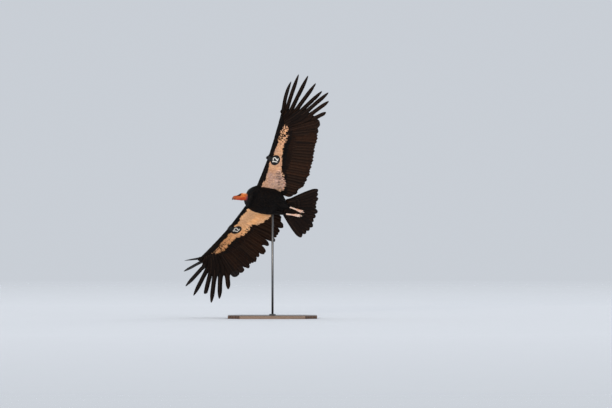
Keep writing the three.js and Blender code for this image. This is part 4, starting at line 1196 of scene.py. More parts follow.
def ruff(material):
    """Narrow pointed feathers round the lower neck, lying back over the breast and shoulders."""
    random = np.random.default_rng(8)
    parts = Parts()
    t = np.linspace(0, 1, RUFF_ROWS)[None]
    arch = np.sin(np.pi * np.minimum(t, 0.62) / 1.24)
    point = smooth(t, -0.35, 0.35) * np.clip(1 - t, 0, 1) ** 0.7 * 1.25
    for k, (start, long_, wide, rise) in enumerate(RUFF["tiers"]):
        count = int(girth(start) / RUFF["beside"])
        b = ring_turns(k, count, 0.5, random)
        a = start + jitter(random, count, 5)
        length = long_ * vary(random, count, 0.3)
        u = a[:, None] - length[:, None] * t
        turn = b[:, None] + jitter(random, (count, 1), 0.12) * t
        stand = rise * arch * (0.7 + 0.6 * random.random((count, 1)))
        lift = lerp(-coat_depth(a)[:, None] - 1, -1.0, t) + stand
        normal = surface_normal(trunk_place, u, turn, lift, TRUNK_STEP, -1)
        half = np.broadcast_to(wide / 2 * point + 0.25, u.shape)
        twist = jitter(random, count, 12)
        spine = trunk_place(u, turn, lift)
        thick = np.full(u.shape, 0.45)
        shape = leaves(spine, normal, half, half, 0.22, thick, TUFT_COLUMNS, twist, 0.25)
        add_feathers(parts, shape, 1, random.random(count), at=trunk_uv(a, b))
    parts.piece("ruff", material, "ruff_feathers")


def axillaries(side, material):
    """Long pale feathers under the root of the wing, behind the lining's own rows."""
    random = np.random.default_rng(88 + side)
    parts = Parts()
    t = np.linspace(0, 1, RUFF_ROWS)[None]
    for start, longest, number in AXILLARIES["tiers"]:
        span = np.linspace(*AXILLARIES["spans"], number) + jitter(random, number, 5)
        rear = rows_at(LINING_ROWS[side], span)[:, 2] + jitter(random, number, 14)
        begin = rows_at(WING_ROWS, span)[:, 5] * start
        keep = rear - begin > AXILLARIES["shortest"]
        span, rear, begin = span[keep], rear[keep], begin[keep]
        count = len(span)
        rear = np.minimum(rear, begin + longest)
        back = lerp(begin[:, None], rear[:, None], t)
        along = span[:, None] + 0.12 * (back - begin[:, None])
        droop = np.maximum(0, 11.5 - arm_half(along, back)) * t
        lift = lerp(-1.5, 2.0 + random.random((count, 1)), t) + droop
        width = AXILLARIES["width"] * vary(random, count, 0.3)
        twist = 1.5 + jitter(random, count, 3)
        shape = small_feathers(arm_place(-1), along, back, lift, width, 0.78, 0.01, WING_STEP, -1, twist)
        # On the left wing the tone is scaled down so these feathers come out paler: painted light over the
        # shade among their overlapping roots
        tone = random.random(count) * (0.55 if side > 0 else 0.4)
        at = wing_uv(side, -1, span, np.minimum(begin, 280))
        # 0.9 paints the left axillaries in the pinker painted-shade colour of the lining
        add_feathers(parts, shape, side, tone, 1, 0.9 if side > 0 else 0, at)
    parts.piece(f"axillaries_{SIDES[side]}", material, "body_feathers")


def arm_coat(side, face, material):
    """Marginal, lesser and median coverts of one face of a wing, in rows that grow to the rear."""
    random = np.random.default_rng(100 + 10 * side + face)
    rows, back, k = [], WING_COAT["first"], 0
    while back < WING_COAT["last"]:
        size = lerp(*WING_COAT["beside"], min(back / 130, 1))
        span = np.arange(WING_ROOT - 22 + size * 0.5 * (k % 2), WING_TIP - 8, size)
        rows.append(np.stack([span, np.full(len(span), back)], -1))
        back += lerp(*WING_COAT["apart"], min(back / 110, 1))
        k += 1
    spot = np.concatenate(rows)
    spot += jitter(random, spot.shape, 2.6)
    depth = rows_at(WING_ROWS, spot[:, 0])[:, 5]
    keep = spot[:, 1] < depth * 0.97
    depth = depth[keep]
    a, b = spot[keep].T
    count = len(a)
    share = np.clip(b / 120, 0, 1)
    length = lerp(*WING_COAT["length"], share ** 0.8) * vary(random, count, 0.25)
    length = np.where(b / depth > 0.82, length * (1.25 + 0.45 * (1 - smooth(a, 296, 330))), length)
    lean = np.radians(lerp(*WING_COAT["lean"], smooth(a, 640, 900)) + jitter(random, count, 9))
    t = np.linspace(0, 1, COAT_ROWS)[None]
    span = a[:, None] + length[:, None] * t * np.sin(lean)[:, None]
    back = b[:, None] + length[:, None] * t * np.cos(lean)[:, None]
    thin = np.minimum(ARM_COAT, arm_half(a, b) * 0.55)[:, None]
    behind = back / rows_at(WING_ROWS, a)[:, 5:6]
    over = np.maximum(0, 10.5 * smooth(behind, 0.55, 0.85) - arm_half(span, back))
    stack = 1.2 * smooth(behind, 0.8, 1.1)
    lift = lerp(-thin - 0.5, 0.8 + 0.8 * random.random((count, 1)), t ** 0.7) + over * t ** 0.5 + stack * t
    width = lerp(*WING_COAT["width"], share) * vary(random, count, 0.25)
    twist = jitter(random, count, 7)
    shape = small_feathers(arm_place(face), span, back, lift, width, 0.55, 0.1, WING_STEP, face, twist)
    pale = 0
    if face < 0:
        pale = lining(a, b + 0.55 * length * np.cos(lean), side)
        pale = pale * (random.random(count) > 0.4 * smooth(a, 540, 700))
    # Painted shade: the left wing's lining is painted pinker towards the body, where it lies in shade
    shade_pink = 0.9 - 0.4 * smooth(a, 250, 360) if side > 0 else 0
    tone = random.random(count)
    if side < 0:
        tone = np.clip(tone + lerp(-0.5, 0.6, smooth(a, 200, 760)), 0, 1)
    name = f"{'upper' if face > 0 else 'under'}_coverts_{SIDES[side]}"
    coat_piece(name, material, shape, side, tone, wing_uv(side, face, a, b), pale, shade_pink)


def thigh_coat(side, material):
    random = np.random.default_rng(70 + side)
    places = np.arange(THIGH_COAT["first"], THIGH_COAT["last"], THIGH_COAT["apart"])
    counts = (2 * np.pi * rows_at(THIGH_RADII, places)[:, 1] / THIGH_COAT["beside"]).astype(int)
    a, b = ring_places(places + 0.01, counts, 0.4, 0.02, random)
    keep = ~near_rod(thigh_place(a, b, 0.0) * (1, side, 1))
    a, b, count = a[keep], b[keep], int(keep.sum())
    t = np.linspace(0, 1, COAT_ROWS)[None]
    length = lerp(*THIGH_COAT["length"], smooth(a, 0.3, 1)) * vary(random, count, 0.35)
    along = a[:, None] + length[:, None] / THIGH_LENGTH * t
    turn = b[:, None] + jitter(random, (count, 1), 0.2) * t
    skin = thigh_lift(a)[:, None]
    lift = lerp(skin - 0.5, 0.4 + 1.5 * random.random((count, 1)), t ** 0.8)
    width = THIGH_COAT["width"] * vary(random, count, 0.25)
    shape = small_feathers(thigh_place, along, turn, lift, width, 0.5, 0.14, (0.01, 0.03), 1, 0.0)
    at = on_atlas(("thigh", side), a, np.mod(b, 2 * np.pi) / (2 * np.pi))
    coat_piece(f"thigh_feathers_{SIDES[side]}", material, shape, side, random.random(count), at)


def face_bristles(material):
    """Short black feathers between the bill and the eyes, thinning out over the forehead."""
    random = np.random.default_rng(12)
    count = BRISTLES["count"]
    x = BRISTLES["first"] + BRISTLES["over"] * random.random(count)
    turn = np.pi / 2 + 1.75 * (2 * random.random(count) - 1)
    local = egg(rows_at(HEAD_ROWS, x), turn, 0.0, HEAD_SQUARENESS)
    off_eye = np.hypot(local[:, 0] - EYE["x"], local[:, 2] - EYE["z"])
    middle = ((x - BRISTLES["middle"]) / BRISTLES["reach"]) ** 2 + (np.abs(turn - np.pi / 2) / 1.35) ** 2
    hole = np.hypot(local[:, 0] - NOSTRIL["x"], local[:, 2] - NOSTRIL["z"])
    keep = (off_eye > BRISTLES["off_eye"]) & (hole > BRISTLES["off_nostril"])
    keep &= middle + 0.35 * random.random(count) < 1.1
    x, turn, count = x[keep], turn[keep], int(keep.sum())
    t = np.linspace(0, 1, BRISTLE_ROWS)[None]
    length = 9 + 4 * random.random(count)
    u = HEAD_U + x[:, None] - length[:, None] * t
    around = turn[:, None] + jitter(random, (count, 1), 0.15) * t
    lift = lerp(-0.6, 1.3 + 0.6 * random.random((count, 1)), t ** 0.8)
    width = 2.4 + 1.0 * random.random(count)
    shape = small_feathers(trunk_place, u, around, lift, width, 0.2, 0.1, (1.0, 0.03), -1, 0.0, 0.3)
    coat_piece("face_bristles", material, shape, 1, random.random(count), trunk_uv(HEAD_U + x, turn))


# Wing tags

def edge_wrap(span, s, lift):
    """The wing's skin round the leading edge: s is 0 on the edge, 1 well back on top, -1 below."""
    row = rows_at(WING_ROWS, span)
    reach = np.abs(s) * 1.5
    turn = np.minimum(reach, 1) * np.pi / 2
    back = row[..., 5] * THICKEST * (1 - np.cos(turn)) + np.maximum(reach - 1, 0) * 90
    p = wing_place(span, back)
    p[..., 2] += np.sign(s) * (arm_half(span, back) + lift * np.sin(turn))
    p[..., 0] += lift * np.cos(turn)
    return p


def tag_shapes():
    """A round plate over and one under the wing, joined by a strap round the leading edge."""
    edge = TAG["thick"] / 2
    bend = np.linspace(np.pi / 2, -np.pi / 2, 7)
    inner = np.linspace(0.05, TAG["radius"] - 1.5, 12)
    radius = np.concatenate([inner, TAG["radius"] - edge + edge * np.cos(bend), inner[::-1]])
    lift = TAG["lift"] + np.concatenate([0 * inner + edge, edge * np.sin(bend), 0 * inner - edge])
    turn = circle(96)[None]
    for face in (1, -1):
        span = TAG["span"] + radius[:, None] * np.sin(turn)
        back = TAG["back"] - radius[:, None] * np.cos(turn)
        points, faces = tube(arm_place(face)(span, back, lift[:, None] + 0 * turn))
        yield points, faces, np.stack([span, back, 0 * span], -1).reshape(-1, 3)
    s = np.linspace(-1, 1, 61)[None]
    spine = edge_wrap(TAG["span"] + 0 * s, s, TAG["lift"] + 0 * s)
    aside = edge_wrap(TAG["span"] + 1 + 0 * s, s, TAG["lift"] + 0 * s) - spine
    normal = unit(np.cross(aside, np.gradient(spine, axis=1)))
    half = np.full(s.shape, TAG["strap"] / 2)
    points, faces, _ = leaves(spine, normal, half, half, 0, np.full(s.shape, TAG["thick"]), 9)
    yield points, faces, 0 * points


def digit_strokes():
    """The figures 1 and 2, as strokes on a plane."""
    tall, r = DIGIT["tall"], DIGIT["radius"]
    arc = np.radians(np.linspace(165, -38, 36))
    top = np.stack([11 + r * np.cos(arc), tall - r + r * np.sin(arc)], -1)
    yield np.linspace((-15, tall), (-15, -tall), 24)
    yield np.linspace((-15, tall - 1.5), (-24, tall - 12), 10)
    yield top
    yield np.linspace(top[-1], (-1, -tall + 2), 20)
    yield np.linspace((-2.5, -tall + DIGIT["half"]), (24, -tall + DIGIT["half"]), 16)


def transmitter_shapes():
    """A small rounded case on the strap in front of the left leading edge, and its aerial."""
    place = wing_place(np.array(TRANSMITTER["span"]), np.array(TRANSMITTER["back"]))
    along = np.linspace(-1, 1, 24)[:, None]
    turn = circle(40)
    rounding = (1 - np.abs(along) ** 6) ** 0.5
    across, up = (np.sign(v) * np.abs(v) ** 0.45 * rounding for v in (np.cos(turn), np.sin(turn)))
    case = np.stack([across, along + 0 * turn, up], -1) * TRANSMITTER["half"] + place
    yield tube(case)
    t = np.linspace(0, 1, 30)
    path = bezier(*(place + step for step in TRANSMITTER["aerial"]), t)
    yield tube(sweep(path, 0.8 + 0 * t, 10))


def tag(side, plate, ink):
    parts, figures = Parts(), Parts()
    for points, faces, place in tag_shapes():
        parts.add(points * (1, side, 1), faces, {"place": place * MM})
    if side > 0:
        for points, faces in transmitter_shapes():
            parts.add(points, faces, {"place": points * MM})
    for face in (1, -1):
        for stroke in digit_strokes():
            span = TAG["span"] + stroke[None, :, 0] * -face * side
            back = TAG["back"] - stroke[None, :, 1]
            lift = np.full(span.shape, TAG["lift"] + TAG["thick"] / 2 + 0.12)
            spine = arm_place(face)(span, back, lift)
            normal = surface_normal(arm_place(face), span, back, lift, (1.0, 1.0), face)
            half = np.full(span.shape, DIGIT["half"])
            points, faces, _ = leaves(spine, normal, half, half, 0, 0 * half + 0.35, 5)
            figures.add(points * (1, side, 1), faces, {"place": points * MM})
    parts.piece(f"wing_tag_{SIDES[side]}", plate, "wing_tag", [f"tag_{SIDES[side]}"])
    figures.piece(f"tag_number_{SIDES[side]}", ink, "wing_tag")


# Display stand

def turned(profile, sides):
    """Rings about the upright axis through a profile of radius and height."""
    ring = np.array(profile, float)
    turn = circle(sides)
    return np.stack([ring[:, :1] * np.cos(turn), ring[:, :1] * np.sin(turn), ring[:, 1:] + 0 * turn], -1)


def base_board(material):
    """An eight-sided board with eased edges."""
    x, y, c = BASE["length"] / 2, BASE["width"] / 2, BASE["corner"]
    outline = np.array([
        (x, y - c), (x - c, y), (c - x, y), (-x, y - c), (-x, c - y), (c - x, -y), (x - c, -y), (x, c - y),
    ], float)
    ease = BASE["ease"]
    bend = np.linspace(0, np.pi / 2, 6)
    inset = np.concatenate([[1.2, 0], ease * (1 - np.cos(bend))])
    height = np.concatenate([[0, 1.2], BASE["height"] - ease + ease * np.sin(bend)])
    share = np.linspace(0, 1, 10)[:-1, None]
    rings = []
    for i, z in zip(inset, height):
        corners = outline * (1 - i / np.array([x, y]))
        steps = [lerp(a, b, share) for a, b in zip(corners, np.roll(corners, -1, 0))]
        rings.append(np.insert(np.concatenate(steps), 2, z, axis=1))
    parts = Parts()
    parts.add(*tube(np.array(rings)))
    parts.piece("base_board", material, "base_board", ["stand_base"], upright=True, smooth_faces=False)


def stand(board, steel):
    base_board(board)
    low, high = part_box("stand_rod")
    foot, top = low.z / MM, high.z / MM
    r = ROD_RADIUS
    parts = Parts()
    parts.add(*tube(turned([(r - 1, foot), (r, foot + 1), (r, top - 1), (r - 1, top)], 72)))
    parts.piece("rod", steel, "rod_steel", ["stand_rod"], upright=True)
    r, h = COLLAR["radius"], COLLAR["height"]
    bend = np.linspace(0, np.pi / 2, 10)
    bore = ROD_RADIUS + 0.3
    profile = [(bore, foot), (r - 0.8, foot), (r, foot + 0.8), (r, foot + h * 0.45)]
    profile += [(r - 7 * (1 - math.cos(v)), foot + h * 0.45 + h * 0.55 * math.sin(v)) for v in bend]
    profile += [(bore + 0.8, foot + h), (bore, foot + h - 0.8)]
    parts = Parts()
    parts.add(turned(profile, 96).reshape(-1, 3), [grid_faces(len(profile), 96, ring=True)])
    parts.piece("collar", steel, "rod_steel", ["stand_collar"], upright=True)


# Materials

class Paint:
    """A material built node by node round one shader."""

    def __init__(self, name, **settings):
        self.material = bpy.data.materials.new(name)
        self.material.use_nodes = True
        self.tree = self.material.node_tree
        self.shader = self.tree.nodes["Principled BSDF"]
        for key, value in settings.items():
            self.shader.inputs[key.replace("_", " ")].default_value = value

    def node(self, kind, options=None, output=0, **inputs):
        """Adds a node; inputs are sockets to link or plain values, keyed by name or by i and number."""
        made = self.tree.nodes.new("ShaderNode" + kind)
        for key, value in (options or {}).items():
            setattr(made, key, value)
        for key, value in inputs.items():
            numbered = key[0] == "i" and key[1:].isdigit()
            socket = made.inputs[int(key[1:])] if numbered else made.inputs[key.replace("_", " ")]
            if isinstance(value, bpy.types.NodeSocket):
                self.tree.links.new(value, socket)
            else:
                socket.default_value = value
        return made.outputs[output]

    def read(self, name):
        """A mark that the mesh carries at each point, as a vector."""
        return self.node("Attribute", {"attribute_name": name}, output=1)

    def numbers(self, vector):
        """The three numbers of a vector."""
        split = self.tree.nodes.new("ShaderNodeSeparateXYZ")
        self.tree.links.new(vector, split.inputs[0])
        return split.outputs[0], split.outputs[1], split.outputs[2]

    def marks(self, name):
        return self.numbers(self.read(name))

    def place(self):
        """The object's own coordinates."""
        return self.node("TexCoord", output=3)

    def math(self, operation, a, b=0.0):
        return self.node("Math", {"operation": operation}, i0=a, i1=b)

    def plus(self, a, b):
        return self.math("ADD", a, b)

    def times(self, a, b):
        return self.math("MULTIPLY", a, b)

    def stretched(self, vector, by):
        return self.node("VectorMath", {"operation": "MULTIPLY"}, i0=vector, i1=by)

    def length(self, vector):
        return self.node("VectorMath", {"operation": "LENGTH"}, output=1, i0=vector)

    def range(self, value, low, high, to_low=0.0, to_high=1.0):
        ends = {"From_Min": low, "From_Max": high, "To_Min": to_low, "To_Max": to_high}
        return self.node("MapRange", None, Value=value, **ends)

    def noise(self, scale, detail=3.0, vector=None, rough=0.55):
        vector = vector or self.place()
        return self.node("TexNoise", None, Vector=vector, Scale=scale, Detail=detail, Roughness=rough)

    def mix(self, share, a, b):
        a, b = (v if isinstance(v, bpy.types.NodeSocket) else (*v, 1.0) for v in (a, b))
        return self.node("Mix", {"data_type": "RGBA"}, output=2, i0=share, i6=a, i7=b)

    def stain(self, base, colour, value, low, high, most=1.0):
        """Colour over base, from none where value is low to the most where it is high."""
        return self.mix(self.range(value, low, high, 0.0, most), base, colour)

    def finish(self, colour, bump=None, distance=0.0, strength=1.0, roughness=None):
        """Links what the shader shows and gives the finished material."""
        self.tree.links.new(colour, self.shader.inputs["Base Color"])
        if roughness:
            self.tree.links.new(roughness, self.shader.inputs["Roughness"])
        if bump:
            normal = self.node("Bump", None, Height=bump, Distance=distance, Strength=strength)
            self.tree.links.new(normal, self.shader.inputs["Normal"])
        return self.material


BLACK = (0.0022, 0.0024, 0.0031)
BROWN_BLACK = (0.0075, 0.005, 0.0037)
TIP_BROWN = (0.02, 0.013, 0.01)
FLIGHT_DARK = (0.0028, 0.0019, 0.0016)
FLIGHT_BROWN = (0.0145, 0.0056, 0.0027)
WEB_BROWN = (0.032, 0.0125, 0.0052)
EDGE_PALE = (0.07, 0.04, 0.025)
BAR_PALE = (0.62, 0.56, 0.5)
FLIGHT_SHAFT = (0.045, 0.026, 0.017)
LINING_CREAM = (0.78, 0.41, 0.19)
# Painted shade: the pinker, greyer colour of the lining where it lies in shade
LINING_SHADE_PINK = (0.54, 0.35, 0.29)
LINING_DEEP = (0.34, 0.14, 0.055)
LINING_LIGHT = (0.95, 0.6, 0.34)
# Painted shade at the roots of the pale lining feathers
LINING_ROOT_SHADE = (0.2, 0.12, 0.075)
LINING_SHAFT = (0.22, 0.13, 0.08)
SKIN_ORANGE = (0.3, 0.05, 0.005)
SKIN_YELLOW = (0.56, 0.19, 0.03)
SKIN_RED = (0.24, 0.015, 0.005)
SKIN_PURPLE = (0.085, 0.022, 0.045)
SKIN_CERE = (0.24, 0.04, 0.006)
# Pale crown: partly the skin's own paler colour, partly a painted highlight
SKIN_CROWN = (0.66, 0.44, 0.3)
SKIN_DARK = (0.03, 0.02, 0.02)
DOWN_PALE = (0.4, 0.27, 0.19)
LEG_PALE = (0.7, 0.54, 0.46)
LEG_PINK = (0.56, 0.3, 0.2)
LEG_SEAM = (0.28, 0.16, 0.12)
BILL_ROOT = (0.3, 0.052, 0.008)
BILL_SIDE = (0.22, 0.04, 0.008)
BILL_TIP = (0.03, 0.02, 0.018)
BILL_GRAIN = (0.3, 0.11, 0.045)
IRIS_DARK = (0.28, 0.02, 0.012)
IRIS_LIGHT = (0.5, 0.07, 0.03)
IRIS_RIM = (0.06, 0.02, 0.02)
PUPIL = (0.002, 0.002, 0.002)
CLAW_ROOT = (0.16, 0.09, 0.06)
CLAW_DARK = (0.022, 0.017, 0.015)
CLAW_GRAIN = (0.1, 0.07, 0.05)
PLATE_BLACK = (0.004, 0.004, 0.0045)
PLATE_SCUFF = (0.02, 0.019, 0.018)
INK_WHITE = (0.72, 0.71, 0.68)
INK_SCUFF = (0.45, 0.43, 0.4)
WOOD_DARK = (0.042, 0.021, 0.011)
WOOD_LIGHT = (0.1, 0.05, 0.026)
WOOD_PORE = (0.018, 0.009, 0.006)
STEEL_DARK = (0.05, 0.052, 0.055)
STEEL_LIGHT = (0.12, 0.122, 0.128)
STEEL_SPOT = (0.035, 0.033, 0.033)
FLOOR_GREY = (0.74, 0.76, 0.79)
FLOOR_PALE = (0.76, 0.78, 0.81)

# The dark patch between bill and eyes: its middle on the head, and how closely it is drawn in
LORE_MIDDLE = (0.088, 0.0, 0.025)
LORE_TIGHT = (38.0, 32.0, 50.0)


def barbs(paint, across, along, pitch, lean):
    """Fine lines that run from the shaft to the edge and towards the tip."""
    run = paint.math("SUBTRACT", along, paint.times(paint.math("ABSOLUTE", across), lean))
    wobble = paint.times(paint.noise(60.0, 2.0), 0.0012)
    return paint.math("SINE", paint.times(paint.plus(run, wobble), 2 * math.pi / pitch))


def small_feather_paint():
    """Body feathers and linings: the mark's first number goes from black to pale."""
    paint = Paint("body_feather", Roughness=0.55, Specular_IOR_Level=0.05)
    across, along, share = paint.marks("vane")
    pale, tone, shade_pink = paint.marks("mark")
    dark = paint.mix(paint.times(tone, tone), BLACK, BROWN_BLACK)
    dark = paint.stain(dark, TIP_BROWN, share, 0.8, 1.0, 0.5)
    patch = paint.range(paint.noise(9.0, 3.0), 0.35, 0.65, -0.25, 0.25)
    # Painted shade: the pink mark turns the pale lining pinker and greyer, the look of the left wing's inner
    # lining in shade
    light = paint.mix(paint.plus(shade_pink, patch), LINING_CREAM, LINING_SHADE_PINK)
    light = paint.stain(light, LINING_DEEP, tone, 0.5, 1.0, 0.55)
    light = paint.stain(light, LINING_LIGHT, tone, 0.25, 0.0, 0.6)
    # Painted shade: the pale lining darkens towards each feather's root, where the feathers over it shade it
    light = paint.stain(light, LINING_ROOT_SHADE, share, 0.3, 0.1, 0.3)
    light = paint.stain(light, LINING_SHAFT, paint.math("ABSOLUTE", across), 0.0012, 0.0004, 0.3)
    speckle = paint.range(paint.noise(90.0, 2.0), 0, 1, -0.12, 0.12)
    colour = paint.mix(paint.range(paint.plus(pale, speckle), 0.35, 0.65), dark, light)
    lines = barbs(paint, across, along, 0.0011, 1.2)
    return paint.finish(colour, paint.plus(lines, paint.noise(400.0, 2.0)), 0.00012, 0.5)


def flight_paint():
    """Vanes of wing and tail: browner secondaries, blacker fingers, pale worn edges, dark shafts."""
    paint = Paint("flight_feather", Roughness=0.5, Specular_IOR_Level=0.06)
    across, along, _ = paint.marks("vane")
    pale, tone, black = paint.marks("mark")
    side = paint.math("ABSOLUTE", across)
    lines = barbs(paint, across, along, 0.0016, 0.9)
    run = paint.times(paint.math("SUBTRACT", along, paint.times(side, 0.9)), 330.0)
    ply = paint.node("CombineXYZ", None, i0=run, i1=paint.times(across, 22.0), i2=paint.times(tone, 50.0))
    streak = paint.noise(1.0, 3.0, ply)
    fading = paint.range(black, 0.0, 1.0, 1.0, 0.3)
    brown = paint.times(fading, paint.range(tone, 0, 1, 0.2, 1.0))
    base = paint.mix(brown, FLIGHT_DARK, FLIGHT_BROWN)
    base = paint.stain(base, BLACK, streak, 0.42, 0.62, 0.55)
    web = paint.times(paint.range(streak, 0.56, 0.36, 0.0, 0.5), fading)
    base = paint.mix(paint.times(web, paint.range(tone, 0, 0.5, 0.35, 1.0)), base, WEB_BROWN)
    worn = paint.times(paint.range(side, 0.018, 0.034), paint.range(lines, -1, 1, 0.25, 0.6))
    base = paint.mix(paint.times(worn, paint.range(black, 0.0, 1.0, 0.3, 0.05)), base, EDGE_PALE)
    base = paint.stain(base, BAR_PALE, pale, 0.0, 1.0)
    shaft = paint.range(side, 0.0019, 0.0010)
    base = paint.mix(paint.times(shaft, 0.7), base, FLIGHT_SHAFT)
    height = paint.plus(lines, paint.times(streak, 4.0))
    return paint.finish(base, height, 0.0002, 0.7, paint.range(shaft, 0, 1, 0.52, 0.3))


def skin_paint():
    """Bare skin of head, neck and legs; black down where feathers cover it."""
    paint = Paint("skin", Roughness=0.5, Specular_IOR_Level=0.18, Subsurface_Weight=0.06)
    paint.shader.inputs["Subsurface Radius"].default_value = (0.006, 0.002, 0.001)
    place = paint.read("place")
    x, _, z = paint.numbers(place)
    pale, kind, _ = paint.marks("mark")
    spots = paint.noise(70.0, 4.0)
    patch = paint.noise(26.0, 3.0)
    creases = paint.noise(150.0, 5.0, rough=0.7)
    stir = paint.range(patch, 0, 1, -0.016, 0.016)
    ahead, height = paint.plus(x, stir), paint.plus(z, stir)
    head = paint.mix(paint.range(patch, 0.36, 0.66), SKIN_ORANGE, SKIN_YELLOW)
    head = paint.stain(head, SKIN_CERE, ahead, 0.064, 0.086, 0.8)
    head = paint.stain(head, SKIN_RED, height, -0.006, -0.024, 0.75)
    # Pale crown on the top and back of the head: partly the skin's own paler colour, partly a painted
    # highlight on the top of the head
    crown = paint.times(paint.range(height, 0.014, 0.03, 0.0, 0.85), paint.range(x, 0.06, 0.042))
    head = paint.mix(crown, head, SKIN_CROWN)
    nape = paint.times(paint.range(ahead, 0.036, 0.014), paint.range(z, 0.014, -0.008, 0.1, 0.85))
    head = paint.mix(nape, head, SKIN_PURPLE)
    lore = paint.node("VectorMath", {"operation": "SUBTRACT"}, i0=place, i1=LORE_MIDDLE)
    lore = paint.math("SUBTRACT", 1.0, paint.length(paint.stretched(lore, LORE_TIGHT)))
    lore = paint.plus(lore, paint.range(spots, 0, 1, -0.25, 0.25))
    head = paint.stain(head, SKIN_DARK, lore, -0.05, 0.2)
    head = paint.stain(head, SKIN_RED, creases, 0.5, 0.36, 0.45)
    head = paint.stain(head, SKIN_RED, spots, 0.55, 0.75, 0.3)
    head = paint.stain(head, BLACK, ahead, 0.012, 0.002)
    legs = paint.mix(paint.range(patch, 0.4, 0.65), LEG_PALE, LEG_PINK)
    scales = paint.node("TexVoronoi", {"feature": "DISTANCE_TO_EDGE"}, Vector=paint.place(), Scale=240.0)
    seams = paint.range(scales, 0.0, 0.06)
    legs = paint.stain(legs, LEG_SEAM, seams, 1.0, 0.0, 0.5)
    bare, on_leg = paint.range(kind, 0.25, 0.7), paint.range(kind, 1.4, 1.6)
    base = paint.mix(bare, paint.mix(pale, BLACK, DOWN_PALE), head)
    wrinkle = paint.plus(creases, paint.noise(420.0, 4.0))
    folds = paint.plus(wrinkle, paint.times(seams, on_leg))
    roughness = paint.range(bare, 0, 1, 0.85, 0.46)
    return paint.finish(paint.mix(on_leg, base, legs), folds, 0.0009, 0.6, roughness)


def bill_paint():
    paint = Paint("bill_horn", Roughness=0.38, Specular_IOR_Level=0.3, Coat_Weight=0.05)
    share, _, _ = paint.marks("mark")
    grain = paint.noise(60.0, 4.0, paint.stretched(paint.read("place"), (1.0, 4.0, 4.0)))
    stirred = paint.plus(share, paint.range(grain, 0, 1, -0.12, 0.12))
    base = paint.mix(paint.range(stirred, 0.08, 0.42), BILL_ROOT, BILL_SIDE)
    base = paint.stain(base, BILL_TIP, share, 0.62, 0.86)
    base = paint.stain(base, BILL_GRAIN, grain, 0.5, 0.72, 0.35)
    return paint.finish(base, grain, 0.0003, 0.5)


def eye_paint():
    paint = Paint("eye", Roughness=0.05, Specular_IOR_Level=0.6, Coat_Weight=1.0)
    angle, turn, _ = paint.marks("mark")
    ply = paint.node("CombineXYZ", None, i0=paint.times(turn, 9.0), i1=paint.times(angle, 3.0))
    iris = paint.mix(paint.range(paint.noise(1.0, 2.0, ply), 0.35, 0.7), IRIS_DARK, IRIS_LIGHT)
    iris = paint.stain(iris, IRIS_RIM, angle, 0.72, 0.9)
    return paint.finish(paint.stain(iris, PUPIL, angle, 0.44, 0.4))


def claw_paint():
    paint = Paint("claw", Roughness=0.35, Specular_IOR_Level=0.5)
    share, _, _ = paint.marks("mark")
    grain = paint.noise(220.0, 4.0)
    base = paint.mix(paint.range(share, 0.0, 0.35), CLAW_ROOT, CLAW_DARK)
    return paint.finish(paint.stain(base, CLAW_GRAIN, grain, 0.5, 0.75, 0.4), grain, 0.0002, 0.4)


def tag_paint(name, tone, scuffed):
    paint = Paint(name, Roughness=0.5, Specular_IOR_Level=0.2)
    grime = paint.noise(45.0, 5.0)
    scratch = paint.noise(30.0, 4.0, paint.stretched(paint.place(), (1.0, 9.0, 2.0)))
    base = paint.mix(paint.range(grime, 0.45, 0.75, 0.0, 0.6), tone, scuffed)
    base = paint.stain(base, scuffed, scratch, 0.64, 0.7, 0.35)
    height = paint.plus(scratch, paint.noise(900.0, 2.0))
    return paint.finish(base, height, 0.0001, 0.4, paint.range(grime, 0.3, 0.7, 0.34, 0.6))


def board_paint():
    """Dark stained wood with its grain along the length of the board."""
    paint = Paint("stained_board", Roughness=0.42, Specular_IOR_Level=0.4, Coat_Weight=0.1)
    paint.shader.inputs["Coat Roughness"].default_value = 0.3
    ply = paint.stretched(paint.place(), (0.6, 7.0, 7.0))
    wave = {"Scale": 1.6, "Distortion": 7.0, "Detail": 4.0, "Detail_Scale": 1.2}
    bands = paint.node("TexWave", {"bands_direction": "Y"}, Vector=ply, **wave)
    pores = paint.noise(60.0, 4.0, paint.stretched(paint.place(), (0.5, 14.0, 14.0)))
    base = paint.mix(bands, WOOD_DARK, WOOD_LIGHT)
    base = paint.stain(base, WOOD_PORE, pores, 0.55, 0.7, 0.7)
    return paint.finish(base, pores, 0.0002, 0.5, paint.range(pores, 0.4, 0.7, 0.3, 0.5))


def steel_paint():
    paint = Paint("dark_steel", Roughness=0.34, Metallic=1.0)
    brushed = paint.noise(40.0, 4.0, paint.stretched(paint.place(), (30.0, 30.0, 0.6)))
    spots = paint.noise(18.0, 4.0)
    base = paint.mix(paint.range(brushed, 0.3, 0.7), STEEL_DARK, STEEL_LIGHT)
    base = paint.stain(base, STEEL_SPOT, spots, 0.55, 0.75, 0.4)
    return paint.finish(base, brushed, 0.00008, 0.4, paint.range(spots, 0.3, 0.7, 0.28, 0.45))


# Studio

FLOOR_DROP = 0.4
FLOOR_FADE = (8.0, 31.0)
FLOOR_RINGS = (0.001, 0.5, 2, 5, 10, 16, 24, 32)
ROOM = {"colour": (0.81, 0.86, 0.93, 1), "strength": 0.72}
# Lights: where each shines from, its strength, its softness in degrees and its colour
LIGHTS = {
    "key": ((-0.25, -1.0, 0.06), 3.6, 20, (1.0, 0.88, 0.74)),
    "fill": ((0.7, -0.65, 0.45), 0.35, 40, (0.9, 0.95, 1.0)),
    "top": ((0.1, 0.35, 1.0), 0.5, 50, (1.0, 1.0, 1.0)),
    "rim": ((0.6, 0.7, 0.35), 0.45, 30, (1.0, 0.98, 0.95)),
}


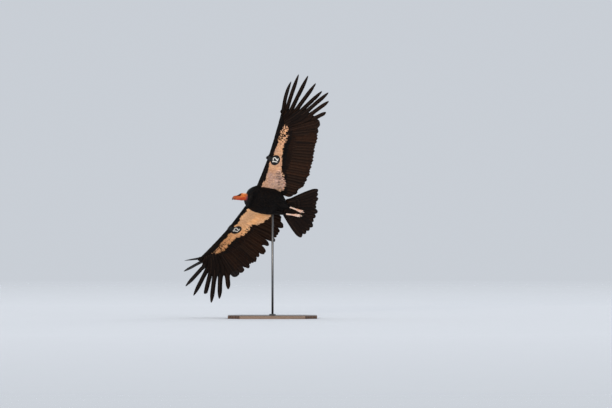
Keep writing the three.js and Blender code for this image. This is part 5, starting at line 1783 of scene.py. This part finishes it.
def camera():
    data = bpy.data.cameras.new("camera")
    data.sensor_width = SENSOR
    data.lens = SENSOR * CAMERA_DISTANCE / FRAME_WIDTH
    data.clip_end = 4 * CAMERA_DISTANCE
    item = bpy.data.objects.new("camera", data)
    bird = BIRD_PLACE * MM
    item.location = (bird[0] + AIM_ASIDE, bird[1] - CAMERA_DISTANCE, bird[2] + AIM_LIFT)
    item.rotation_euler = (math.pi / 2, 0, 0)
    bpy.context.scene.collection.objects.link(item)
    bpy.context.scene.camera = item


def floor():
    """A wide pale floor that fades out far from the stand."""
    paint = Paint("pale_floor", Roughness=0.85, Specular_IOR_Level=0.1)
    material = paint.finish(paint.mix(paint.noise(3.0, 3.0), FLOOR_GREY, FLOOR_PALE))
    share = paint.range(paint.length(paint.place()), *FLOOR_FADE)
    clear = paint.node("BsdfTransparent")
    fade = paint.node("MixShader", None, i0=share, i1=paint.shader.outputs[0], i2=clear)
    paint.tree.links.new(fade, paint.tree.nodes["Material Output"].inputs["Surface"])
    turn = circle(64)[None]
    radius = np.array(FLOOR_RINGS)[:, None] / MM
    points = np.stack([radius * np.cos(turn), radius * np.sin(turn), -FLOOR_DROP + 0 * radius * turn], -1)
    parts = Parts()
    parts.add(points.reshape(-1, 3), [grid_faces(len(radius), 64)])
    parts.mesh("floor", material, True)


def studio():
    """A pale room and soft far lights that shine towards its middle."""
    world = bpy.data.worlds.new("pale_room")
    world.use_nodes = True
    background = world.node_tree.nodes["Background"]
    background.inputs["Color"].default_value = ROOM["colour"]
    background.inputs["Strength"].default_value = ROOM["strength"]
    scene = bpy.context.scene
    scene.world = world
    scene.view_settings.view_transform = "Standard"
    for name, (place, strength, softness, colour) in LIGHTS.items():
        data = bpy.data.lights.new(name, "SUN")
        data.energy = strength
        data.angle = math.radians(softness)
        data.color = colour
        item = bpy.data.objects.new(name, data)
        item.rotation_euler = mathutils.Vector(place).to_track_quat("Z", "Y").to_euler()
        scene.collection.objects.link(item)


# Assembly

def build():
    camera()
    studio()
    floor()
    skin(skin_paint())
    horn = bill_paint()
    beak("beak_upper", "bill_upper", UPPER_BILL_ROWS, horn)
    beak("beak_lower", "bill_lower", LOWER_BILL_ROWS, horn)
    body, flight, eye, claw = small_feather_paint(), flight_paint(), eye_paint(), claw_paint()
    plate = tag_paint("tag_plate", PLATE_BLACK, PLATE_SCUFF)
    ink = tag_paint("tag_number", INK_WHITE, INK_SCUFF)
    for side in SIDES:
        eyeball(side, eye)
        talons(side, claw)
        flight_feathers(side, flight)
        arm_coat(side, 1, body)
        arm_coat(side, -1, body)
        axillaries(side, body)
        thigh_coat(side, body)
        tag(side, plate, ink)
    tail_feathers(flight)
    trunk_coat(body)
    ruff(body)
    face_bristles(body)
    stand(board_paint(), steel_paint())


build()
